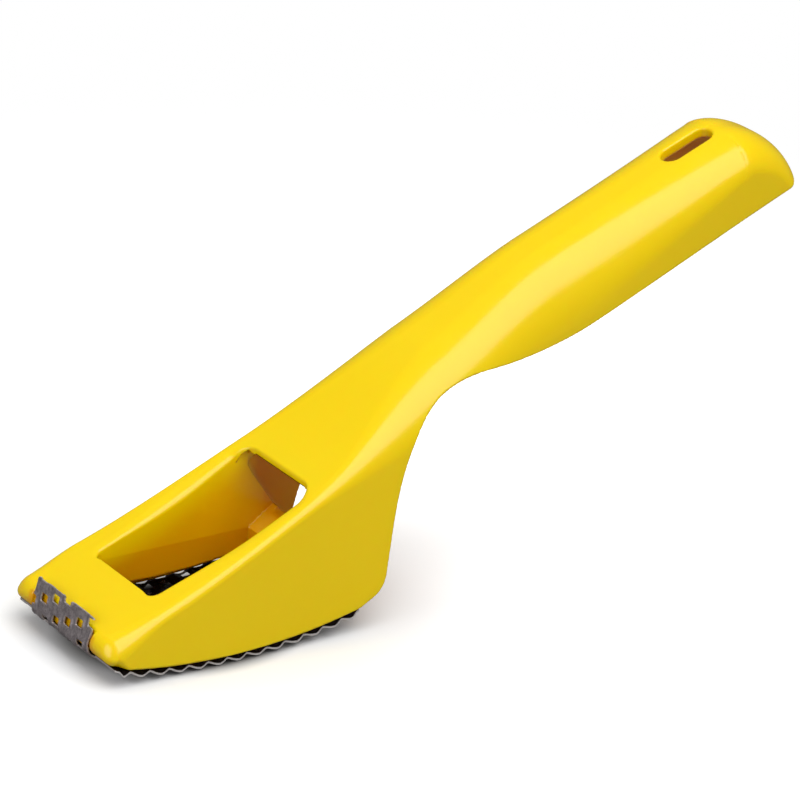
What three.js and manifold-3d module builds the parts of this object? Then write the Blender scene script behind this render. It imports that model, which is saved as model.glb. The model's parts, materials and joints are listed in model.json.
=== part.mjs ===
// Rasp plane: a one-piece moulded body with a hollow channel handle, and a clip-on pierced steel blade.
// Lengths are in millimetres. X runs from the nose to the end of the handle, Y across the tool and Z up.
// While the pieces are made, x is 0 at the front corner of the sole and z is 0 at its lowest line.
import * as THREE from 'three';
import { mergeVertices } from 'three/addons/utils/BufferGeometryUtils.js';
import Module from 'manifold-3d';

const wasm = await Module();
wasm.setup();
const radians = THREE.MathUtils.degToRad;

// Sole: a shallow arc that the blade is drawn against
const soleLength = 61.7;
const soleRadius = 150;
const soleLowPoint = 28.5;
const bodyWidth = 42.4;

// Nose: two rounded lugs with a leaning recess for the blade's tab between them
const noseReach = 2.35;
const noseCornerRadius = 3.2;
const browRadius = 2.0;
const chinRadius = 2.3;
const deckHeight = 8.75;
const deckAngle = 20.4;

// Window over the blade well, and the bridge behind it
const windowFront = 13.0;
const windowLength = 39.6;
const windowFrontCorner = 2.2;
const windowRearCorner = 4.0;
const wellWidth = 23.8;
const railHeight = 11.6;
const wellDraftAngle = 4.5;
const bridgeHeight = 31.8;
const bridgeAngle = 28.2;
const bridgeLip = 0.6;

// Cross wall at the rear of the well, with its chip ramp
const crossWallPlace = 53.1;
const crestPlace = 59.7;
const crestHeight = 16.2;
const crossWallTop = 10.5;
const chamberBrowDrop = 4.6;

// Skirt round the well, inside the hollow of the nose and the rims
const skirtWall = 1.8;
const skirtGap = 4.4;
const noseWall = 3.2;

// Neck and handle
const sideLeanShare = 0.12;
const gripLeanShare = 0.05;
const neckPlace = 88;
const neckHeight = 55.85;
const neckAngle = 28.9;
const neckWidth = 30.3;
const neckTaperAngle = 3.9;
const gripStart = 118;
const gripStartHeight = 73.5;
const gripStartWidth = 27.6;
const gripEndWidth = 26.4;
const gripAngle = 22.6;
const gripDepth = 18.7;
const overallLength = 186.85;
const endCornerRadius = 1.4;
const endRoundLength = 17.8;
const endDrop = 17.6;
const endFullness = 1.4;
const endToeRadius = 5.8;
const wall = 2.8;
const bridgeWallRun = 10;

// Lower edge of the heel and neck
const heelHeight = 2.0;
const heelRun = 3.95;
const heelRadius = 6.8;
const heelBackAngle = 79.7;
const heelBackPlace = 68.5;
const heelBackHeight = 8.6;
const throatHeight = 20.5;
const throatReach = 24.0;
const swellPlace = 98.0;
const swellHeight = 51.8;
const swellSlopeShare = 0.078;
const swellReach = 13.9;
const gripLineStart = 126;

// Corner radius between the top and the sides, along the tool
const noseEdgeRadius = 3.6;
const rimEdgeRadius = 1.6;
const neckEdgeRadius = 8.4;
const gripEdgeAcross = 11.5;
const gripEdgeDown = 15.0;
const endEdgeAcross = 11.6;
const endEdgeDown = 7.0;
const leastEdgeRadius = 0.4;

// Soft roll of the window's side rims, which dies out towards the nose
const rimRollAcross = 4.6;
const rimRollDown = 2.4;
const rimRollStart = 19;
const rimRollFull = 36;
const rimRollLeastShare = 0.03;

// Hanging slot
const slotLength = 13.8;
const slotWidth = 5.4;
const slotFromEnd = 25.65;

// Blade: pierced sheet, turned up at both ends
const sheetThickness = 0.55;
const bladeWidth = 41.3;
const seatGap = 0.3;
const tabWidth = 23.6;
const tabHeight = 6.4;
const tabLeanAngle = 14;
const tabBendRadius = 2.5;
const lipWidth = 25;
const lipHeight = 4.2;
const lipBendRadius = 1.9;
const recessClearance = 0.4;

// Teeth: a square lattice turned against the stroke
const toothPitch = 4.62;
const latticeTurnAngle = 20.5;
const firstToothDown = 5.6;
const firstToothAcross = -1.65;
const toothHeight = 1.1;
const edgeRidgeHeight = 1.2;
const tabToothHeight = 0.35;
const toothBack = 2.3;
const toothTipReach = 0.3;
const toothRootWidth = 1.9;
const toothTipWidth = 2.9;
const holeWidth = 2.6;
const holeFront = 1.5;
const holeBack = 1.6;
const toothSkin = 0.5;
const ridgeBack = 2.9;
const ridgeFoot = 1.95;
const ridgeHalf = 1.5;
const tipTaperShare = 0.8;

// One overrun serves every cut, and the joints between cutters
const overrun = 1;
const farOut = 300;

// Levels and runs that only set how finely the solids are cut
const farBelow = 15;
const stationRun = 4;
const plateChord = 5;
const toothOverrun = 0.25;
const tipOverrun = 0.1;

// Shared counts
const arcSteps = 6;
const endSteps = 7;
const bendSteps = 4;

// Work out the places that follow from the sizes above
const soleHeight = (x) => soleRadius - Math.sqrt(soleRadius ** 2 - (x - soleLowPoint) ** 2);
const slopeOf = (degrees) => Math.tan(radians(degrees));
const windowRear = windowFront + windowLength;
const gripEnd = overallLength - noseReach;
const windowFrontHeight = deckHeight + slopeOf(deckAngle) * windowFront;
const soleCentre = new THREE.Vector2(soleLowPoint, soleRadius);

// Smooth line through knots of [place, value, slope], straight beyond its ends
function smoothLine(knots, x) {
  const last = knots[knots.length - 1];
  if (x <= knots[0][0]) return knots[0][1] + knots[0][2] * (x - knots[0][0]);
  if (x >= last[0]) return last[1] + last[2] * (x - last[0]);
  const k = knots.findIndex((knot) => x < knot[0]);
  const [x0, v0, s0] = knots[k - 1];
  const [x1, v1, s1] = knots[k];
  const run = x1 - x0;
  const t = (x - x0) / run;
  const rise = 3 * t ** 2 - 2 * t ** 3;
  const leave = t * (1 - t) ** 2;
  const arrive = t ** 2 * (t - 1);
  return v0 + (v1 - v0) * rise + run * (s0 * leave + s1 * arrive);
}

// Crown of the tool seen from the side: deck, rim, neck and grip
const crownKnots = [
  [0, deckHeight, slopeOf(deckAngle)],
  [windowFront, windowFrontHeight, slopeOf(deckAngle)],
  [windowRear, bridgeHeight, slopeOf(bridgeAngle)],
  [neckPlace, neckHeight, slopeOf(neckAngle)],
  [gripStart, gripStartHeight, slopeOf(gripAngle)],
];
const crown = (x) => smoothLine(crownKnots, x);

// Half width at the shoulder, just under the crown
const headHalf = (z) => bodyWidth / 2 - sideLeanShare * (z - soleHeight(0));
const shoulderKnots = [
  [0, headHalf(deckHeight), -sideLeanShare * slopeOf(deckAngle)],
  [windowRear, headHalf(bridgeHeight), -sideLeanShare * slopeOf(bridgeAngle)],
  [neckPlace, neckWidth / 2, -slopeOf(neckTaperAngle)],
  [gripStart, gripStartWidth / 2, 0],
  [gripEnd, gripEndWidth / 2, 0],
];
const shoulder = (x) => smoothLine(shoulderKnots, x);
const leanKnots = [
  [heelBackPlace, sideLeanShare, 0],
  [gripStart, gripLeanShare, 0],
  [gripEnd, 0, 0],
];
const lean = (x) => smoothLine(leanKnots, x);
const edgeKnots = (gripEdge, endEdge) => [
  [0, noseEdgeRadius, 0],
  [windowFront, rimEdgeRadius, 0],
  [windowRear, rimEdgeRadius, 0],
  [neckPlace, neckEdgeRadius, 0],
  [gripStart, gripEdge, 0],
  [gripEnd, endEdge, 0],
];
const edgeAcross = (x) => smoothLine(edgeKnots(gripEdgeAcross, endEdgeAcross), x);
const edgeDown = (x) => smoothLine(edgeKnots(gripEdgeDown, endEdgeDown), x);

// Closed solid from a geometry, and back
function solidOf(geometry) {
  const bare = geometry.clone();
  bare.deleteAttribute('normal');
  bare.deleteAttribute('uv');
  const welded = mergeVertices(bare);
  return new wasm.Manifold(new wasm.Mesh({
    numProp: 3,
    vertProperties: Float32Array.from(welded.attributes.position.array),
    triVerts: Uint32Array.from(welded.index.array),
  }));
}

function geometryOf(solid) {
  const mesh = solid.getMesh();
  const geometry = new THREE.BufferGeometry();
  geometry.setAttribute('position', new THREE.BufferAttribute(Float32Array.from(mesh.vertProperties), mesh.numProp));
  geometry.setIndex(new THREE.BufferAttribute(Uint32Array.from(mesh.triVerts), 1));
  geometry.computeVertexNormals();
  return geometry;
}

// Skin over rings of points that all turn the same way, closed by a flat fan at each end
function loftSolid(rings) {
  const count = rings[0].length;
  const positions = rings.flat().flatMap((point) => point.toArray());
  const index = [];
  for (let r = 0; r + 1 < rings.length; r += 1) {
    for (let i = 0; i < count; i += 1) {
      const a = r * count + i;
      const b = r * count + (i + 1) % count;
      index.push(a, b, b + count, a, b + count, a + count);
    }
  }
  const last = (rings.length - 1) * count;
  for (let i = 1; i + 1 < count; i += 1) {
    index.push(0, i + 1, i);
    index.push(last, last + i, last + i + 1);
  }
  const geometry = new THREE.BufferGeometry();
  geometry.setAttribute('position', new THREE.Float32BufferAttribute(positions, 3));
  geometry.setIndex(index);
  const solid = solidOf(geometry);
  return solid;
}

// Outline in x and z, carried across the tool from -halfWidth to +halfWidth
function sideSolid(shape, halfWidth) {
  const geometry = new THREE.ExtrudeGeometry(shape, { depth: 2 * halfWidth, bevelEnabled: false, curveSegments: 1 });
  geometry.rotateX(Math.PI / 2);
  geometry.translate(0, halfWidth, 0);
  return solidOf(geometry);
}

// Arc of points about a centre, from one angle to another
function arcPoints(centre, radius, from, to, steps) {
  return Array.from({ length: steps + 1 }, (_, i) => {
    const angle = from + (to - from) * i / steps;
    return new THREE.Vector2(centre.x + radius * Math.cos(angle), centre.y + radius * Math.sin(angle));
  });
}

// Corner of a polyline rounded by a radius
function roundedCorner(before, corner, after, radius, steps) {
  const arriving = before.clone().sub(corner).normalize();
  const leaving = after.clone().sub(corner).normalize();
  const half = Math.acos(THREE.MathUtils.clamp(arriving.dot(leaving), -1, 1)) / 2;
  const middle = arriving.clone().add(leaving).normalize();
  const centre = corner.clone().addScaledVector(middle, radius / Math.sin(half));
  const start = corner.clone().addScaledVector(arriving, radius / Math.tan(half));
  const from = start.clone().sub(centre).angle();
  const turn = (Math.PI - 2 * half) * Math.sign(arriving.cross(leaving)) * -1;
  return arcPoints(centre, radius, from, from + turn, steps);
}

// Ring across the tool at x: flat crown, rounded shoulders and leaning sides down to a floor level
function sectionRing(x, crownHeight, halfWidth, edge, sideSlope, floor) {
  const start = Math.atan(sideSlope * edge.down / edge.across);
  const centre = new THREE.Vector2(
    halfWidth + sideSlope * edge.down * (1 - Math.sin(start)) - edge.across * Math.cos(start),
    crownHeight - edge.down,
  );
  const side = arcPoints(new THREE.Vector2(), 1, start, Math.PI / 2, arcSteps)
    .map((point) => new THREE.Vector2(centre.x + edge.across * point.x, centre.y + edge.down * point.y));
  const foot = new THREE.Vector2(halfWidth + sideSlope * (crownHeight - floor), floor);
  const right = [foot, ...side];
  const left = right.map((point) => new THREE.Vector2(-point.x, point.y)).reverse();
  return [...right, ...left].map((point) => new THREE.Vector3(x, point.x, point.y));
}

// Stations along the tool, closer together where it turns
function stations(from, to, step) {
  const count = Math.max(1, Math.round((to - from) / step));
  return Array.from({ length: count }, (_, i) => from + (to - from) * i / count);
}

// Form of the tool seen from above and from the end: its skin down to a floor, pulled in by an inset
function topForm(inset, from, floor) {
  const end = gripEnd - inset;
  const roundStart = end - endRoundLength + inset;
  const cornerStart = end - endCornerRadius + inset;
  const crownInset = (x) => {
    const slope = (crown(x + overrun) - crown(x - overrun)) / (2 * overrun);
    const thin = smoothLine([[windowRear, bridgeLip, 0], [windowRear + bridgeWallRun, wall, 0]], x);
    return (inset > 0 ? thin : 0) * Math.hypot(1, slope);
  };
  const ring = (x, pull, drop) => {
    const halfWidth = shoulder(x) - inset - pull;
    const edge = {
      across: Math.max(edgeAcross(x) - inset, leastEdgeRadius),
      down: Math.max(edgeDown(x) - inset, leastEdgeRadius),
    };
    return sectionRing(x, crown(x) - crownInset(x) - drop, halfWidth, edge, lean(x), floor);
  };
  const rings = [];
  if (inset === 0) {
    for (let i = 0; i <= endSteps; i += 1) {
      const angle = Math.PI / 2 * i / endSteps;
      rings.push(ring(-noseReach + noseCornerRadius * (1 - Math.cos(angle)), noseCornerRadius * (1 - Math.sin(angle)), 0));
    }
    stations(stationRun, windowRear, stationRun).forEach((x) => rings.push(ring(x, 0, 0)));
    stations(windowRear, roundStart, stationRun).forEach((x) => rings.push(ring(x, 0, 0)));
  } else {
    stations(from, roundStart, stationRun).forEach((x) => rings.push(ring(x, 0, 0)));
  }
  const reach = end - roundStart;
  for (let i = 0; i <= endSteps; i += 1) {
    const angle = Math.PI / 2 * i / endSteps;
    const x = roundStart + reach * Math.sin(angle);
    const turned = Math.max(0, x - cornerStart) / (end - cornerStart);
    const pull = endCornerRadius * (1 - Math.sqrt(1 - turned ** 2));
    const fall = 1 - (1 - Math.sin(angle) ** endFullness) ** (1 / endFullness);
    rings.push(ring(x, pull, endDrop * fall));
  }
  return loftSolid(rings);
}

const toVector2 = (pair) => new THREE.Vector2(pair[0], pair[1]);

// Lower edge of the tool seen from the side, from the sole's rear corner to the end of the grip
function lowerEdge() {
  const soleEnd = new THREE.Vector2(soleLength, soleHeight(soleLength));
  const chamferEnd = new THREE.Vector2(soleLength + heelRun, soleEnd.y + heelHeight);
  const backSlope = slopeOf(heelBackAngle);
  const backPoint = (z) => new THREE.Vector2(heelBackPlace + (z - heelBackHeight) / backSlope, z);
  const heelSlope = heelHeight / heelRun;
  const meetX = (heelBackHeight - backSlope * heelBackPlace - soleEnd.y + heelSlope * soleLength) / (heelSlope - backSlope);
  const heelCorner = new THREE.Vector2(meetX, soleEnd.y + heelSlope * (meetX - soleLength));
  const throat = backPoint(throatHeight);
  const heel = roundedCorner(chamferEnd, heelCorner, throat, heelRadius, arcSteps);
  const swell = new THREE.Vector2(swellPlace, swellHeight);
  const along = new THREE.Vector2(1, swellSlopeShare).normalize();
  const up = new THREE.Vector2(Math.cos(radians(heelBackAngle)), Math.sin(radians(heelBackAngle)));
  const neck = new THREE.CubicBezierCurve(
    throat,
    throat.clone().addScaledVector(up, throatReach),
    swell.clone().addScaledVector(along, -swellReach),
    swell,
  );
  const gripLine = (x) => crown(x) - gripDepth;
  const gripKnots = [
    [swellPlace, swellHeight, swellSlopeShare],
    [gripLineStart, gripLine(gripLineStart), slopeOf(gripAngle)],
  ];
  const grip = stations(swellPlace, gripLineStart, stationRun).slice(1).map((x) => toVector2([x, smoothLine(gripKnots, x)]));
  const toe = new THREE.Vector2(gripEnd, gripLine(gripEnd));
  const toeCorner = roundedCorner(
    toVector2([gripLineStart, gripLine(gripLineStart)]),
    toe,
    toVector2([gripEnd, toe.y + gripDepth]),
    endToeRadius,
    arcSteps,
  );
  return [
    ...heel,
    ...neck.getPoints(2 * endSteps),
    ...grip,
    toVector2([gripLineStart, gripLine(gripLineStart)]),
    ...toeCorner,
  ];
}

// Direction of the sole at its front corner, and the leaning direction that the blade comes off along
const leanAngle = radians(tabLeanAngle);
const leanUp = new THREE.Vector2(Math.sin(leanAngle), Math.cos(leanAngle));

// Outline of the lugs and the rest of the body, seen from the side
function bodyOutline() {
  const front = -noseReach;
  const chinCorner = new THREE.Vector2(front, soleHeight(front));
  const browCorner = new THREE.Vector2(front, deckHeight + slopeOf(deckAngle) * front);
  const deckPoint = toVector2([windowFront, windowFrontHeight]);
  const points = [
    ...roundedCorner(deckPoint, browCorner, chinCorner, browRadius, arcSteps),
    ...roundedCorner(browCorner, chinCorner, toVector2([0, soleHeight(0)]), chinRadius, arcSteps),
    ...stations(0, soleLength, stationRun).slice(1).map((x) => toVector2([x, soleHeight(x)])),
    toVector2([soleLength, soleHeight(soleLength)]),
    ...lowerEdge(),
    toVector2([gripEnd, crown(gripEnd) + overrun]),
  ];
  const top = stations(windowFront, gripEnd, 2 * stationRun).map((x) => toVector2([x, crown(x) + overrun])).reverse();
  return new THREE.Shape([...points, ...top, deckPoint]);
}

// Place and heading of the blade's outer face, by heading angle on its bends
const outerRadius = soleRadius + seatGap + sheetThickness;
const outward = (heading) => new THREE.Vector2(Math.sin(heading), -Math.cos(heading));
function bendCentre(x, radius) {
  const heading = Math.asin((x - soleLowPoint) / (outerRadius - radius));
  return { heading, centre: soleCentre.clone().addScaledVector(outward(heading), outerRadius - radius) };
}
const frontBend = bendCentre(0, tabBendRadius);
const rearBend = bendCentre(soleLength, lipBendRadius);
const tabHeading = -Math.PI / 2 - leanAngle;
const lipHeading = Math.PI / 2 - leanAngle;

// The blade's path from the top of the tab, under the nose, along the sole and up the lip
const pathParts = [
  { length: tabHeight, heading: tabHeading, turn: 0 },
  { length: tabBendRadius * (frontBend.heading - tabHeading), heading: tabHeading, turn: 1 / tabBendRadius },
  { length: outerRadius * (rearBend.heading - frontBend.heading), heading: frontBend.heading, turn: 1 / outerRadius },
  { length: lipBendRadius * (lipHeading - rearBend.heading), heading: rearBend.heading, turn: 1 / lipBendRadius },
  { length: lipHeight, heading: lipHeading, turn: 0 },
];
const tabFoot = frontBend.centre.clone().addScaledVector(outward(tabHeading), tabBendRadius);
const tabTop = tabFoot.clone().addScaledVector(leanUp, tabHeight);
const sheetLength = pathParts.reduce((sum, part) => sum + part.length, 0);
const plateStart = pathParts[0].length + pathParts[1].length;
const plateEnd = plateStart + pathParts[2].length;

// Point and heading of the blade's outer face at a distance along its path
function alongSheet(distance) {
  let start = tabTop;
  let left = distance;
  for (const part of pathParts) {
    const run = part === pathParts[pathParts.length - 1] ? left : Math.min(left, part.length);
    const heading = part.heading + part.turn * run;
    const step = part.turn === 0
      ? new THREE.Vector2(Math.cos(heading), Math.sin(heading)).multiplyScalar(run)
      : outward(heading).sub(outward(part.heading)).multiplyScalar(1 / part.turn);
    start = start.clone().add(step);
    left -= run;
    if (left <= 0) return { point: start, heading };
  }
  return { point: start, heading: lipHeading };
}

// Outline of a band that follows the blade's path, between two depths under its outer face
function sheetBand(from, to, shallow, deep) {
  const marks = [from];
  let mark = 0;
  for (const part of pathParts) {
    const chord = Math.min(plateChord, 1 / (part.turn * bendSteps));
    const pieces = part.turn === 0 ? 1 : Math.ceil(part.length / chord);
    for (let i = 1; i <= pieces; i += 1) {
      const place = mark + part.length * i / pieces;
      if (place > from && place < to) marks.push(place);
    }
    mark += part.length;
  }
  marks.push(to);
  const face = (depth) => marks.map((place) => {
    const { point, heading } = alongSheet(place);
    return point.addScaledVector(outward(heading), -depth);
  });
  return [...face(shallow), ...face(deep).reverse()];
}

// Recess between the lugs: everything in front of a face that leans with the tab
function noseRecess() {
  const seat = sheetThickness + seatGap;
  const corner = tabBendRadius - seat;
  const arc = arcPoints(frontBend.centre, corner, tabHeading - Math.PI / 2, frontBend.heading - Math.PI / 2, arcSteps);
  const top = arc[0].clone().addScaledVector(leanUp, 2 * tabHeight);
  const low = arc[arc.length - 1];
  const shape = new THREE.Shape([
    top,
    ...arc,
    toVector2([low.x, low.y - overrun]),
    toVector2([-noseReach - overrun, low.y - overrun]),
    toVector2([-noseReach - overrun, top.y]),
  ]);
  return sideSolid(shape, tabWidth / 2 + recessClearance);
}

// Rear face of the cross wall, which leans with the lip
function crossWallRear(z) {
  const face = rearBend.centre.clone().addScaledVector(outward(lipHeading), lipBendRadius - sheetThickness - seatGap);
  return new THREE.Vector2(face.x + (z - face.y) * Math.tan(leanAngle), z);
}

// Half width of the well at a height: upright rails, then a draft up to the window's rim
function wellHalf(z) {
  return wellWidth / 2 + Math.max(0, z - railHeight) * slopeOf(wellDraftAngle);
}

// Ring of the well seen from above, with its corners rounded
function wellRing(z, front, rear, frontCorner, rearCorner, offset = 0) {
  const half = wellHalf(z) + offset;
  const corner = (x, y, radius, from) => arcPoints(new THREE.Vector2(x, y), radius, from, from + Math.PI / 2, arcSteps);
  const points = [
    ...corner(rear - rearCorner, half - rearCorner, rearCorner, 0),
    ...corner(front + frontCorner, half - frontCorner, frontCorner, Math.PI / 2),
    ...corner(front + frontCorner, -half + frontCorner, frontCorner, Math.PI),
    ...corner(rear - rearCorner, -half + rearCorner, rearCorner, 3 * Math.PI / 2),
  ];
  return points.map((point) => new THREE.Vector3(point.x, point.y, z));
}

// The well: its window through the deck, and the chamber that runs back under the bridge to the cross wall
function wellCuts() {
  const levels = [-farBelow, railHeight, crown(gripStart)];
  const windowRings = levels.map((z) => wellRing(z, windowFront, windowRear, windowFrontCorner, windowRearCorner));
  const chamberRings = levels.map((z) => wellRing(z, windowFront + windowRearCorner, gripStart, overrun, overrun));
  const brow = crown(windowRear) - bridgeLip * Math.hypot(1, slopeOf(bridgeAngle));
  const chamber = new THREE.Shape([
    [windowFront + windowLength / 2, -farOut],
    [crossWallPlace, -farOut],
    [crossWallPlace, railHeight],
    [crestPlace, crestHeight],
    [crestPlace + overrun, crestHeight],
    [windowRear + overrun, brow - chamberBrowDrop],
    [windowRear + overrun, brow],
    [windowRear - windowRearCorner - overrun, brow],
    [windowFront + windowLength / 2, railHeight],
  ].map(toVector2));
  const chamberCut = loftSolid(chamberRings).intersect(sideSolid(chamber, bodyWidth));
  return loftSolid(windowRings).add(chamberCut);
}

// The hollow behind the cross wall and all along the neck and the handle, open below
function channelCut() {
  const brow = crown(windowRear) - bridgeLip * Math.hypot(1, slopeOf(bridgeAngle));
  const outline = new THREE.Shape([
    toVector2([windowRear, farOut]),
    toVector2([windowRear, brow - chamberBrowDrop]),
    toVector2([crestPlace, crestHeight]),
    crossWallRear(crossWallTop),
    crossWallRear(-farBelow),
    toVector2([farOut, -farBelow]),
    toVector2([farOut, farOut]),
  ]);
  const form = topForm(wall, windowRear - overrun, -farBelow);
  return sideSolid(outline, bodyWidth).intersect(form);
}

// The hollow under the nose and the rims, open to the sole, round a skirt that hangs from the window
function soleCoreCut() {
  const roof = (x) => crown(x) - wall * Math.hypot(1, slopeOf(deckAngle));
  const frontFace = noseWall + leanUp.x / leanUp.y * deckHeight;
  const rear = crossWallPlace - overrun;
  const outline = new THREE.Shape([
    toVector2([noseWall, -overrun]),
    toVector2([rear, -overrun]),
    toVector2([rear, roof(rear)]),
    ...stations(windowFront, rear, 2 * stationRun).map((x) => toVector2([x, roof(x)])).reverse(),
    toVector2([frontFace, roof(frontFace)]),
  ]);
  const skirtRings = [-farBelow, railHeight, crown(gripStart)].map((z) => {
    const corner = windowFrontCorner + skirtWall;
    return wellRing(z, windowFront - skirtWall, crossWallPlace + corner, corner, corner, skirtWall);
  });
  const skirtZone = new THREE.Shape([
    ...stations(0, soleLength, stationRun).map((x) => toVector2([x, soleHeight(x) + skirtGap])),
    toVector2([soleLength, farOut]),
    toVector2([0, farOut]),
  ]);
  const skirt = loftSolid(skirtRings).intersect(sideSolid(skirtZone, bodyWidth));
  const form = topForm(wall, noseWall - overrun, -farBelow);
  return sideSolid(outline, bodyWidth).intersect(form).subtract(skirt);
}

// Growth of the rims' soft roll along the window
const rimRollKnots = [
  [rimRollStart, rimRollLeastShare, 0],
  [rimRollFull, 1, 0],
  [windowRear - windowRearCorner - stationRun, 1, 0],
  [windowRear, rimRollLeastShare, 0],
];

// Strip above the rolled inner edge of one side rim; side is 1 or -1
function rimRollCut(side) {
  const places = [...stations(rimRollStart, windowRear, stationRun), windowRear];
  const rings = places.map((x) => {
    const growth = smoothLine(rimRollKnots, x);
    const half = wellHalf(crown(x));
    const roll = arcPoints(new THREE.Vector2(), 1, Math.PI, Math.PI / 2, arcSteps).map((point) => new THREE.Vector2(
      half + rimRollAcross * growth * (1 + point.x),
      crown(x) + rimRollDown * growth * (point.y - 1),
    ));
    const last = roll[roll.length - 1];
    const outline = [
      toVector2([half - overrun, crown(x) + overrun]),
      toVector2([half - overrun, roll[0].y]),
      ...roll,
      toVector2([last.x, crown(x) + overrun]),
    ];
    const turned = side > 0 ? outline : outline.reverse();
    return turned.map((point) => new THREE.Vector3(x, side * point.x, point.y));
  });
  return loftSolid(rings);
}

// Hanging slot, square to the crown of the handle
function slotCut() {
  const half = slotWidth / 2;
  const reach = slotLength / 2 - half;
  const shape = new THREE.Shape([
    ...arcPoints(new THREE.Vector2(reach, 0), half, -Math.PI / 2, Math.PI / 2, 2 * arcSteps),
    ...arcPoints(new THREE.Vector2(-reach, 0), half, Math.PI / 2, 3 * Math.PI / 2, 2 * arcSteps),
  ]);
  const geometry = new THREE.ExtrudeGeometry(shape, { depth: gripDepth, bevelEnabled: false });
  geometry.translate(0, 0, -gripDepth / 2);
  geometry.rotateY(-radians(gripAngle));
  const place = gripEnd - slotFromEnd;
  geometry.translate(place, 0, crown(place));
  return solidOf(geometry);
}

function makeBody() {
  return sideSolid(bodyOutline(), bodyWidth)
    .intersect(topForm(0, 0, -farBelow))
    .subtract(channelCut())
    .subtract(soleCoreCut())
    .subtract(wellCuts())
    .subtract(rimRollCut(1))
    .subtract(rimRollCut(-1))
    .subtract(noseRecess())
    .subtract(slotCut());
}

// Frame on the blade's outer face: t runs along the sheet, s to the near side and n out of the face
function toothFrame(distance, across) {
  const { point, heading } = alongSheet(distance);
  const normal = outward(heading);
  const along = new THREE.Vector3(Math.cos(heading), 0, Math.sin(heading));
  const out = new THREE.Vector3(normal.x, 0, normal.y);
  const matrix = new THREE.Matrix4().makeBasis(along, new THREE.Vector3(0, -1, 0), out);
  matrix.setPosition(point.x, -across, point.y);
  return matrix;
}

// Lattice points [distance along the sheet, distance across it], numbered from the first tooth on the tab
function latticePoints() {
  const turn = radians(latticeTurnAngle);
  const reach = Math.ceil((sheetLength + bladeWidth) / toothPitch);
  const points = [];
  for (let i = -reach; i <= reach; i += 1) {
    for (let j = -reach; j <= reach; j += 1) {
      const distance = firstToothDown + toothPitch * (j * Math.cos(turn) - i * Math.sin(turn));
      const across = firstToothAcross + toothPitch * (j * Math.sin(turn) + i * Math.cos(turn));
      const onTab = distance < plateStart;
      const reachAcross = onTab ? (tabWidth + toothTipWidth) / 2 : bladeWidth / 2 - ridgeHalf;
      const inLength = distance > -toothBack && distance < plateEnd - holeFront;
      if (inLength && Math.abs(across) < reachAcross) points.push([distance, across]);
    }
  }
  return points;
}

// Teeth on the tab and its bend are pressed low, and those on the sole stand at their full height
function toothRise(distance) {
  return smoothLine([[plateStart, tabToothHeight, 0], [plateStart + toothBack, toothHeight, 0]], distance);
}

// Points where the rows of teeth run out over the two long edges of the plate
function edgePoints() {
  const turn = radians(latticeTurnAngle);
  const reach = Math.ceil((sheetLength + bladeWidth) / toothPitch);
  const points = [];
  for (const across of [-bladeWidth / 2, bladeWidth / 2]) {
    for (let j = -reach; j <= reach; j += 1) {
      const steps = (across - firstToothAcross - toothPitch * j * Math.sin(turn)) / (toothPitch * Math.cos(turn));
      const distance = firstToothDown + toothPitch * (j * Math.cos(turn) - steps * Math.sin(turn));
      if (distance > plateStart + ridgeBack && distance < plateEnd - ridgeFoot / 2) points.push([distance, across]);
    }
  }
  return points;
}

// Ridge where a row is sheared off at the plate's edge, and the hollow pressed up under it
function edgeRidge(frame, skin) {
  const foot = sheetThickness + skin;
  const outline = [
    [-ridgeBack + skin, -foot],
    [ridgeFoot - skin, -foot],
    [ridgeFoot - skin, -skin],
    [toothTipReach, edgeRidgeHeight - skin],
    [-ridgeBack + skin, -skin],
  ];
  const half = ridgeHalf - skin / 2;
  const ring = (s) => outline.map(([t, n]) => new THREE.Vector3(t, s, n));
  return loftSolid([ring(half), ring(-half)]).transform(frame.toArray());
}

// Wedge that rises behind each hole to the cutting edge
function toothWedge({ frame, rise }) {
  const root = toothRootWidth / 2;
  const tip = toothTipWidth / 2;
  const sunk = -sheetThickness / 2;
  const profile = (t, n, half) => [new THREE.Vector3(t, -half, n), new THREE.Vector3(t, half, n)];
  const back = [...profile(-toothBack, sunk, root), ...profile(-toothBack, 0, root).reverse()];
  const front = [...profile(0, sunk, tip), ...profile(toothTipReach, rise, tip * tipTaperShare).reverse()];
  return loftSolid([back, front]).transform(frame.toArray());
}

// Slanted hole through the sheet that undercuts the wedge
function toothHole({ frame, rise }) {
  const half = holeWidth / 2;
  const outline = [
    [-holeBack, -sheetThickness - toothOverrun],
    [holeFront, -sheetThickness - toothOverrun],
    [holeFront, rise / 2],
    [toothTipReach + tipOverrun, rise - toothSkin / 2],
    [toothTipReach - toothSkin / 2, rise - toothSkin],
    [-holeBack, -sheetThickness],
  ];
  const ring = (s) => outline.map(([t, n]) => new THREE.Vector3(t, s, n));
  return loftSolid([ring(half), ring(-half)]).transform(frame.toArray());
}

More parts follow.
